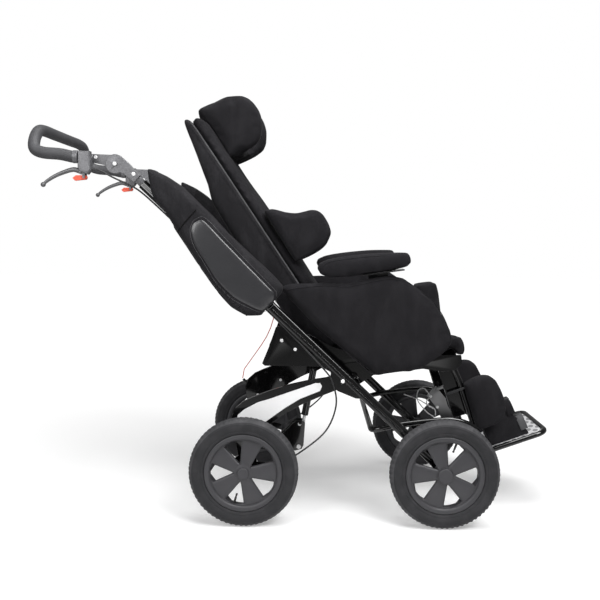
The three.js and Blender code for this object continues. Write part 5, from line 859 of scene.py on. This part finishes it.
def wheel_rim(name, centre, side, turn, cap):
    """The rim ring and the hub with its cap are turned profiles, and spokes join them. The
    cap's radius is given, because the front wheels have larger ones."""
    ring = turned("ring", [
        (94.6, -16), (98, -19), (105, -21), (108.4, -20.6), (110, -18.8), (109.2, -16.4), (107.8, -15),
        (107.8, 15), (109.2, 16.4), (110, 18.8), (108.4, 20.6), (105, 21), (103, 20.4), (101.6, 18),
        (96.4, 17.4), (95, 16), (94, 10), (94, -10),
    ], centre, 120, 50, closed=True)
    hub = turned("hub", np.array((
        (0.1, -37.5), (21, -37.5), (22.8, -35), (23, -4), (27, 6), (26.5, 14), (25, 16.6), (22.4, 17.6),
        (cap + 3, 18.6), (cap + 1, 19.4), (cap + 0.6, 18.2), (cap, 18.2), (cap, 22.6), (cap - 2, 23.8),
        (cap - 4, 23.4), (0.1, 23.6),
    )) * (1, side), centre, 64, 30)
    meshes = [ring, hub]
    for index in range(SPOKE_COUNT):
        angle = math.radians(360 / SPOKE_COUNT * index - side * turn)
        meshes.append(skinned("spoke", spoke(centre, angle, side), sharp=50))
    return joined(name, *meshes)


VALVE_PROFILE = ((94, 3.3), (76, 3.0), (75.6, 2.4), (71, 2.4), (70.6, 2.9), (66.5, 2.9), (66, 2.2))


def valve(name, centre, side, turn):
    """The valve's stem, which points at the axle from the rim's inner face: a circle of
    its profile's radius at each distance from the axle."""
    angle = math.radians(side * (180 / SPOKE_COUNT - turn))
    out = np.array((math.cos(angle), 0, math.sin(angle)))
    across = np.array((-out[2], 0, out[0]))
    rings = []
    for distance, radius in VALVE_PROFILE:
        ring = circle(radius, 14)
        rings.append(out * distance + ring[:, :1] * across + ring[:, 1:] * np.array((0, 1, 0)))
    return skinned(name, np.array(rings) / 1000 + np.asarray(centre), sharp=50)


for end, cap, turn in WHEELS:
    for label, side in SIDES:
        body = f"{end}_wheel_{label}"
        centre = PIVOT[f"{body}_spin"]
        rubber = tyre("tyre", centre)
        rubber.materials.append(RUBBER)
        rubber.materials.append(TREAD_RUBBER)
        for face in rubber.polygons:
            x, _, z = face.center - Vector(centre)
            face.material_index = int(math.hypot(x, z) > TREAD_START / 1000)
        keep(f"{body}_tyre_tread", rubber, body, None, "tyre_rubber", f"{body}_tyre")
        made = wheel_rim("rim", centre, side, turn, cap)
        keep(f"{body}_rim_moulding", made, body, WHEEL, "wheel_plastic", f"{body}_rim")
        keep(f"{body}_valve", valve("valve", centre, side, turn), body, SHEATH, "cable_black")

# Frame

# Node, body, finish, slot and edge width in metres of each CAD node shown as it is.
FINISHED = (
    ("rail_*", "chassis", PAINT, "frame_paint", 0.0006),
    ("rear_axle", "rear_frame", PAINT, "frame_paint", 0.0008),
    ("rear_arm_*", "rear_frame", PAINT, "frame_paint", 0.0015),
    ("arm_panel_*", "rear_frame", WHITE, "panel_white", 0.0008),
    ("strut_rod", "strut_rod", STEEL, "bright_steel", 0.0005),
    ("strut_cylinder", "strut_cylinder", PAINT, "frame_paint", 0.0005),
    ("seat_frame", "seat", PAINT, "frame_paint", 0.0008),
    ("armrest_post_*", "armrest_*", PAINT, "frame_paint", 0.0008),
    ("headrest_stem", "headrest", PAINT, "frame_paint", 0.0008),
    ("leg_lock", "leg_rest", NOSE, "cast_grey", 0.0008),
    ("handle_tube_*", "handle_tubes", CAST, "cast_grey", 0.001),
    ("handle_casting_*", "handle", CAST, "cast_grey", 0.001),
    ("lock_tab_*", "lock_tab_*", RED, "signal_red", 0.0012),
    ("pull_cord", "chassis", RED, "signal_red", 0.0002),
)
for row in both_sides(FINISHED):
    dressed(*row)

BAR_EDGE = 0.0006


def cross_bar(place, reach, radius, collar, start, end):
    """A round bar across the chair, with a collar at each end, from a start to an end."""
    return [
        rod("bar", place, 0, 0, -reach, reach, radius),
        rod("collar", place, 0, 0, -end, -start, collar),
        rod("collar", place, 0, 0, start, end, collar),
    ]


tilt_axle = cross_bar(TILT, reach=238.6, radius=11, collar=13, start=233.7, end=238.6)
recline_rod = cross_bar(HINGE, reach=190.3, radius=7, collar=9.9, start=190.3, end=193.2)
assembled("tilt_axle_round", "chassis", PAINT, "frame_paint", ["tilt_axle"], tilt_axle, BAR_EDGE)
assembled("recline_axle_round", "seat", STEEL, "bright_steel", ["recline_axle"], recline_rod, BAR_EDGE)

HOOP_FOOT = (-217, 0, -63)
HOOP_LENGTH = 300
HOOP_RISE = 38
HOOP_HALF = 230.7
HOOP_RADIUS = 8
HOOP_BEND = 34
HOOP_SHARES = ((0, 0), (0.22, 0.48), (0.55, 0.84), (0.8, 1), (0.94, 0.62), (1, 0.26))


def both_arms(arm, half):
    """A line [x, z] taken backwards on the near side and then forwards on the far side,
    both as far from the middle."""
    return [(x, -half, z) for x, z in arm[::-1]] + [(x, half, z) for x, z in arm]


def front_hoop():
    """A tube from rail to rail: along one arm of shares of its length and rise, across the
    chair and back along the other."""
    foot = RAIL.at(HOOP_FOOT) * 1000
    arm = [(foot[0] + HOOP_LENGTH * along, foot[2] + HOOP_RISE * up) for along, up in HOOP_SHARES]
    return pipe("hoop", WORLD, both_arms(arm, HOOP_HALF), HOOP_RADIUS, HOOP_BEND, 20, 8)


assembled("front_hoop_bent", "chassis", PAINT, "frame_paint", ["front_hoop"], [front_hoop()])

CABLE_RADIUS = 2.4
DRUM_MIDDLE = 246.7


def brake_cable(side):
    """The cable's line: along the rail from the lever, then round the fold to the drum."""
    top = [(1297, 67, 25), (1282, 54, 24), (1240, 42, 16), (1195, 27, 4), (1155, 19.5, 0)]
    rise = [(1173 - 112 * count, 17.3, 0) for count in range(1, 6)]
    low = [(446, 25, 8), (396, 38, 10), (347, 77, 10), (317, 150, 6), (324, 240, 0)]
    route = [
        RAIL.at((-along, side * (RAIL_MIDDLE + outboard), -below)) * 1000
        for along, below, outboard in top + rise + low
    ]
    hub = REAR.at((0, 0, 0)) * 1000
    route += [(hub[0] + 102, side * DRUM_MIDDLE, hub[2] + 8), (hub[0] + 78, side * DRUM_MIDDLE, hub[2])]
    return pipe("cable", WORLD, route, CABLE_RADIUS, sides=12)


for label, side in SIDES:
    assembled(f"brake_cable_{label}_run", "chassis", SHEATH, "cable_black", [f"brake_cable_{label}"],
              [brake_cable(side)])

# Leg rest and footplate

LEG_PLATE_INNER = 130.6
LEG_PLATE_OUTER = 134.6
LEG_TUBE_MIDDLE = 140.1
LEG_TUBE_RADIUS = 9.5
LEG_DISC_RADIUS = 18
LEG_PIN_RADIUS = 7
LEG_BAR_REACH = 131.6
LEG_BARS = (-42.5, -102)
LEG_FLANGE_INNER = 133.6
LEG_FLANGE_OUTER = 149.6
LEG_FLANGE = ((-47, -170), (-42, -170), (-42, -18), (-47, -18))
LEG_BOLT = (-33, -21.6)
LEG_BOLT_FACE = 137.4
LOWER_TUBE = ((2.4, -300), (2.4, -84))
LOWER_TUBE_RADIUS = 6.5
FOOT_RIM = ((206, 132.1), (30, 132.1), (10, 102.1))
FOOT_RIM_RADIUS = 8
FOOT_RIM_BEND = 34
FOOT_BARS = (28, 123.6)
LEG_SIDE = ((-46, -6), (-37, 6), (-14, 12), (2.4, 6), (2.4, -170), (-46, -170))
LEG_TUBE = ((-14.4, 16.2), (-4.75, 6), (-3.2, -18), (2.4, -62), (2.4, -170))


def leg_side(side):
    """One side of the leg rest's frame: plate, pivot disc and pin, tube, flange and bolt."""
    inner, outer = side * LEG_PLATE_INNER, side * LEG_PLATE_OUTER
    return [
        rod("disc", LEG, 0, 0, inner, outer, LEG_DISC_RADIUS, 40),
        flat("web", LEG, LEG_SIDE, inner, outer),
        rod("pin", LEG, 0, 0, side * 124, side * 131, LEG_PIN_RADIUS),
        pipe("tube", LEG, [(x, side * LEG_TUBE_MIDDLE, z) for x, z in LEG_TUBE], LEG_TUBE_RADIUS, 9),
        flat("flange", LEG, LEG_FLANGE, side * LEG_FLANGE_INNER, side * LEG_FLANGE_OUTER),
        rod("bolt", LEG, *LEG_BOLT, side * LEG_FLANGE_INNER, side * LEG_BOLT_FACE, 6, 6),
    ]


def footplate_rim():
    """The tube round the footplate, from the near side of its hinge to the far side."""
    near = [(x, -y, 0) for x, y in FOOT_RIM[::-1]]
    far = [(x, y, 0) for x, y in FOOT_RIM]
    return pipe("rim", FOOT, near + far, FOOT_RIM_RADIUS, FOOT_RIM_BEND, 20, 8)


assembled("leg_frame_welded", "leg_rest", PAINT, "frame_paint", ["leg_frame"], [
    *leg_side(-1), *leg_side(1),
    *[rod("bar", LEG, -7.3, z, -LEG_BAR_REACH, LEG_BAR_REACH, 7) for z in LEG_BARS],
], BAR_EDGE)
assembled("lower_leg_bent", "lower_leg", PAINT, "frame_paint", ["lower_leg"], [
    pipe("tube", LEG, both_arms(LOWER_TUBE, LEG_TUBE_MIDDLE), LOWER_TUBE_RADIUS, 13),
])
assembled("footplate_frame_bent", "footplate", PAINT, "frame_paint", ["footplate_frame"], [
    footplate_rim(),
    rod("sleeve", FOOT, 0, 0, -117.1, -87.1, 12), rod("sleeve", FOOT, 0, 0, 87.1, 117.1, 12),
    *[rod("bar", FOOT, x, -4.5, -131, 131, 3.5) for x in FOOT_BARS],
], BAR_EDGE)

PLATE_LENGTH = 179.7
PLATE_WIDTH = 247.6
PLATE_CORNER = 34
PLATE_CENTRE = 107.85
PLATE_BOTTOM = -0.7
PLATE_EDGE = 3.6
PLATE_TOP = 4.2


def tread_plate():
    """The tread: a rounded plate whose upper edge is eased in three steps."""
    outline = round_box(PLATE_LENGTH, PLATE_WIDTH, PLATE_CORNER, 8) + (PLATE_CENTRE, 0)
    rings = [np.insert(outline, 2, z, axis=1) for z in (PLATE_BOTTOM, PLATE_EDGE)]
    middle = outline.mean(axis=0)
    for share in (0.995, 0.985, 0.96):
        rings.append(np.insert(middle + share * (outline - middle), 2, PLATE_TOP, axis=1))
    return skinned("tread", FOOT.at(rings), sharp=50)


assembled("footplate_tread_ribbed", "footplate", TREAD, "tread_metal", ["footplate_tread"], [tread_plate()])

SANDAL_MIDDLE = 80.1
# Part, cloth, x, z and width of each strap.
STRAPS = (("ankle", CHARCOAL, 124, 112, 24), ("toe", PIPING, 147, 56, 22))
BUCKLES = ((122, 121), (145, 65))
STRAP_REACH = 33.5
STRAP_HALF = ((3, 1, -34), (1, 1, -12), (0, 0.86, 3.6), (-1, 0.5, 8.1), (-1, 0, 9))


def strap_over(middle, x, z, width):
    """A flat band across a sandal: up one side, over the foot and down the other, where
    each point is [x, share of the reach, z] from the strap's place."""
    near = [(x + ahead, middle - STRAP_REACH * share, z + up) for ahead, share, up in STRAP_HALF]
    far = [(x + ahead, middle + STRAP_REACH * share, z + up) for ahead, share, up in STRAP_HALF[-2::-1]]
    return swept("strap", FOOT.at(spline(near + far, 5)), round_box(0.0022, width / 1000, 0.001, 3))


for label, side in SIDES:
    middle = side * SANDAL_MIDDLE
    for part, cloth, *strap in STRAPS:
        assembled(f"sandal_{part}_strap_{label}", "footplate", cloth, "dark_fabric", [],
                  [strap_over(middle, *strap)])
    buckles = []
    for x, z in BUCKLES:
        slide = round_box(27, 4, 1.5, 3) + (x + 1.5, z - 4)
        buckles.append(flat("buckle", FOOT, round_box(30, 6, 2, 3) + (x, z), middle - 15, middle + 13))
        buckles.append(flat("slide", FOOT, slide, middle + 18, middle + 26))
    assembled(f"sandal_buckles_{label}", "footplate", SHEATH, "cable_black", [], buckles, 0.0012)

# Push handle

GRIP_RADIUS = 16.4
COLLAR_RADIUS = 17.9
COLLAR_HEIGHT = 17.2
COLLAR_ENDS = (-98.2, -112)
BALL_RADIUS = 7
GRIP_LINE = (
    (-97.6, GRIP_MIDDLE, 17.2), (-113.5, GRIP_MIDDLE, 17.2), (-148.2, GRIP_MIDDLE, 24.2),
    (-196.1, GRIP_MIDDLE, 28.3), (-221.2, 268, 40.4), (-228, 247.5, 68.7), (-228, 214.5, 93.9),
    (-228, 165, 101), (-228, 74.3, 101),
)


def grip():
    """The padded loop: a smooth closed path through both side parts and the push bar."""
    half = np.array(GRIP_LINE, float)
    path = spline(np.concatenate([half * (1, -1, 1), half[::-1]]), 12)
    return pipe("grip", HANDLE, path, GRIP_RADIUS, bend=0.5, sides=28, steps=1)


LEVER_PIVOT = (-90, -23.3)
LEVER_REACH = 107
LEVER_SHARES = ((0, 0), (0.2, 0.05), (0.43, -0.01), (0.69, -0.12), (0.9, -0.25), (1, -0.34))


def lever(side):
    """The blade has a rounded section that is carried along a smooth curve and shrinks
    evenly towards the ball at its end."""
    y = side * GRIP_MIDDLE
    x, z = LEVER_PIVOT
    points = [(x - along * LEVER_REACH, y, z + up * LEVER_REACH) for along, up in LEVER_SHARES]
    path = HANDLE.at(spline(points, 6))
    share = np.linspace(0, 1, len(path))[:, None, None]
    half = np.concatenate([5.2 - 1.4 * share, 7.4 - 3.6 * share], axis=2) / 1000
    blade = swept("blade", path, round_box(2, 2, 0.9, 4) * half)
    tip = points[-1]
    angle = np.linspace(0, math.pi, 13)
    outline = np.stack([BALL_RADIUS * np.sin(angle) + 0.01, -BALL_RADIUS * np.cos(angle) + y], axis=1)
    ball = turned("ball", outline, HANDLE.at((tip[0], 0, tip[2])), 24)
    return [blade, ball, rod("hub", HANDLE, x, z, y - 4.4, y + 4.4, 8)]


assembled("handle_grip_padded", "handle", FOAM, "grip_foam", ["handle_grip"], [grip()])
for label, side in SIDES:
    assembled(f"brake_lever_{label}_forged", f"brake_lever_{label}", SATIN, "cast_grey",
              [f"brake_lever_{label}"], lever(side))
    ends = [(x, side * GRIP_MIDDLE, COLLAR_HEIGHT) for x in COLLAR_ENDS]
    assembled(f"grip_collar_{label}", "handle", CAST, "cast_grey", [],
              [pipe("collar", HANDLE, ends, COLLAR_RADIUS, 1, 28)], 0.001)

# Screws

# Body, frame, x, z, y, the side that the head faces and its radius.
SCREWS = []
for label, side in SIDES:
    SCREWS += [
        ("chassis", RAIL, -383, -12, side * 265.3, side, 5.6),
        ("seat", SEAT, -195.9, 140, side * 193, side, 5.0),
        ("seat", SEAT, -159.9, 109, side * 193, side, 5.0),
        ("rear_frame", FOLD, -205.6, 64.9, side * 226.7, -side, 4.5),
        ("rear_frame", FOLD, -299.6, 79.3, side * 226.7, -side, 4.5),
        ("rear_frame", REAR, 151, -4, side * 20.1, side, 7.0),
        ("rear_frame", REAR, 153, 68, side * 17.1, side, 5.5),
        ("leg_rest", LEG, *LEG_BOLT, side * LEG_BOLT_FACE, side, 4.6),
        ("leg_rest", LEG, -80, -118, side * 3.1, side, 4.6),
        ("leg_rest", LEG, -70, -158, side * 3.1, side, 4.6),
        ("handle", HANDLE, -57, 18.8, side * 249.8, side, 5.0),
        ("handle_tubes", HANDLE, 0, 0, side * 265.3, side, 5.4),
        ("handle_tubes", RAIL, -1208.3, 3.0, side * 262.2, side, 5.2),
    ]
for number, (body, *head) in enumerate(SCREWS):
    keep(f"screw_{number:02d}", cap_screw(*head), body, ZINC, "bright_steel")

LOCK_CABLES = (
    ((-159, -84), (-138, -101), (-120, -115), (-100, -138), (-81, -160), (-84, -180)),
    ((-80, -118), (-91, -90), (-108, -86), (-121, -104), (-122, -125), (-106, -164), (-90, -184)),
    ((-83, -160), (-98, -142), (-92, -126), (-70, -128), (-61, -145), (-66, -166)),
)
STRAP_LINE = ((-50, -150.5, -91), (-30, -151.5, -90), (0, -151.5, -89), (12, -150, -88))


def lock_cable(index, line):
    """A thin cable through points of the leg rest, which lie by turns 2 mm apart in Y."""
    route = [(x, 5 * index - 9 + 2 * (count % 2), z) for count, (x, z) in enumerate(line)]
    return pipe("cable", LEG, route, 1.7, sides=10)


assembled("lock_cables", "leg_rest", PALE, "bright_steel", [],
          [lock_cable(index, line) for index, line in enumerate(LOCK_CABLES)])
assembled("calf_strap", "leg_rest", SHEATH, "cable_black", [],
          [swept("strap", LEG.at(spline(STRAP_LINE, 5)), round_box(0.0016, 0.007, 0.0007, 3))])

# Floor, light and camera

FLOOR_RADIUS = 14
FLOOR_SIDES = 96
BACKGROUND_LIGHT = 0.2
LAMPS = (
    ("key", (1.3, -1.9, 2.5), (0, 0, 0.6), 1.3, 62),
    ("fill", (-1.6, -2.1, 1.6), (0, 0, 0.6), 1.4, 30),
    ("top", (0.2, -0.6, 3.0), (0, 0, 0.4), 2.0, 70),
)
IMAGE_PIXELS = 600
FOCAL_PIXELS = 773.65
SENSOR = 36
CAMERA_PLACE = (0.03763, -2.43055, 0.81831)
CAMERA_YAW = 0.0146
CAMERA_PITCH = -0.0828
CAMERA_ROLL = -0.0091


def floor():
    """A pale round floor that brightens into the background away from the chair."""
    rim = np.insert(circle(FLOOR_RADIUS, FLOOR_SIDES), 2, 0, axis=1)
    mesh = bpy.data.meshes.new("floor")
    mesh.from_pydata(rim.tolist(), [], [list(range(FLOOR_SIDES))])
    piece = placed("floor", mesh)
    finish = Finish("pale_floor", Roughness=0.9, Specular_IOR_Level=0.0, Emission_Strength=1.0)
    distance = finish.node("ShaderNodeVectorMath", {"operation": "LENGTH"}, [finish.place])["Value"]
    far = distance.between(0.6, 2.2)
    seen = finish.node("ShaderNodeLightPath", {}, [])["Is Camera Ray"]
    glow = finish.mixed(far, (0.34, 0.34, 0.34), (0.98, 0.98, 0.98))
    mesh.materials.append(finish.done(
        Base_Color=finish.mixed(far, (0.72, 0.72, 0.72), (0.2, 0.2, 0.2)),
        Emission_Color=finish.mixed(seen, (0.08, 0.08, 0.08), glow),
    ))


def lamp(name, place, aim, size, power):
    """A round area lamp that points at its aim."""
    light = bpy.data.lights.new(name, "AREA")
    light.shape = "DISK"
    light.size = size
    light.energy = power
    holder = placed(name, light)
    holder.location = place
    holder.rotation_euler = (Vector(aim) - Vector(place)).to_track_quat("-Z", "Y").to_euler()


def light_scene():
    """Three soft lamps and an even world, which the camera sees as white."""
    world = bpy.data.worlds.new("studio")
    world.use_nodes = True
    bpy.context.scene.world = world
    tree = world.node_tree
    back = tree.nodes["Background"]
    path = tree.nodes.new("ShaderNodeLightPath")
    seen = tree.nodes.new("ShaderNodeMix")
    seen.inputs[2].default_value = BACKGROUND_LIGHT
    seen.inputs[3].default_value = 1.0
    tree.links.new(path.outputs["Is Camera Ray"], seen.inputs[0])
    tree.links.new(seen.outputs[0], back.inputs["Strength"])
    back.inputs["Color"].default_value = (1, 1, 1, 1)
    for settings in LAMPS:
        lamp(*settings)


def camera():
    """The photograph's camera: pitched down, with a slight yaw and roll."""
    lens = bpy.data.cameras.new("camera")
    lens.sensor_width = SENSOR
    lens.lens = SENSOR * FOCAL_PIXELS / IMAGE_PIXELS
    holder = placed("camera", lens)
    yaw = Matrix.Rotation(CAMERA_YAW, 4, "Z")
    pitch = Matrix.Rotation(CAMERA_PITCH, 4, "X")
    roll = Matrix.Rotation(CAMERA_ROLL, 4, "Y")
    upright = Matrix.Rotation(math.pi / 2, 4, "X")
    place = Matrix.Translation(CAMERA_PLACE)
    holder.matrix_world = place @ yaw @ pitch @ roll @ upright
    bpy.context.scene.camera = holder


floor()
light_scene()
camera()
bpy.context.scene.view_settings.view_transform = "Standard"
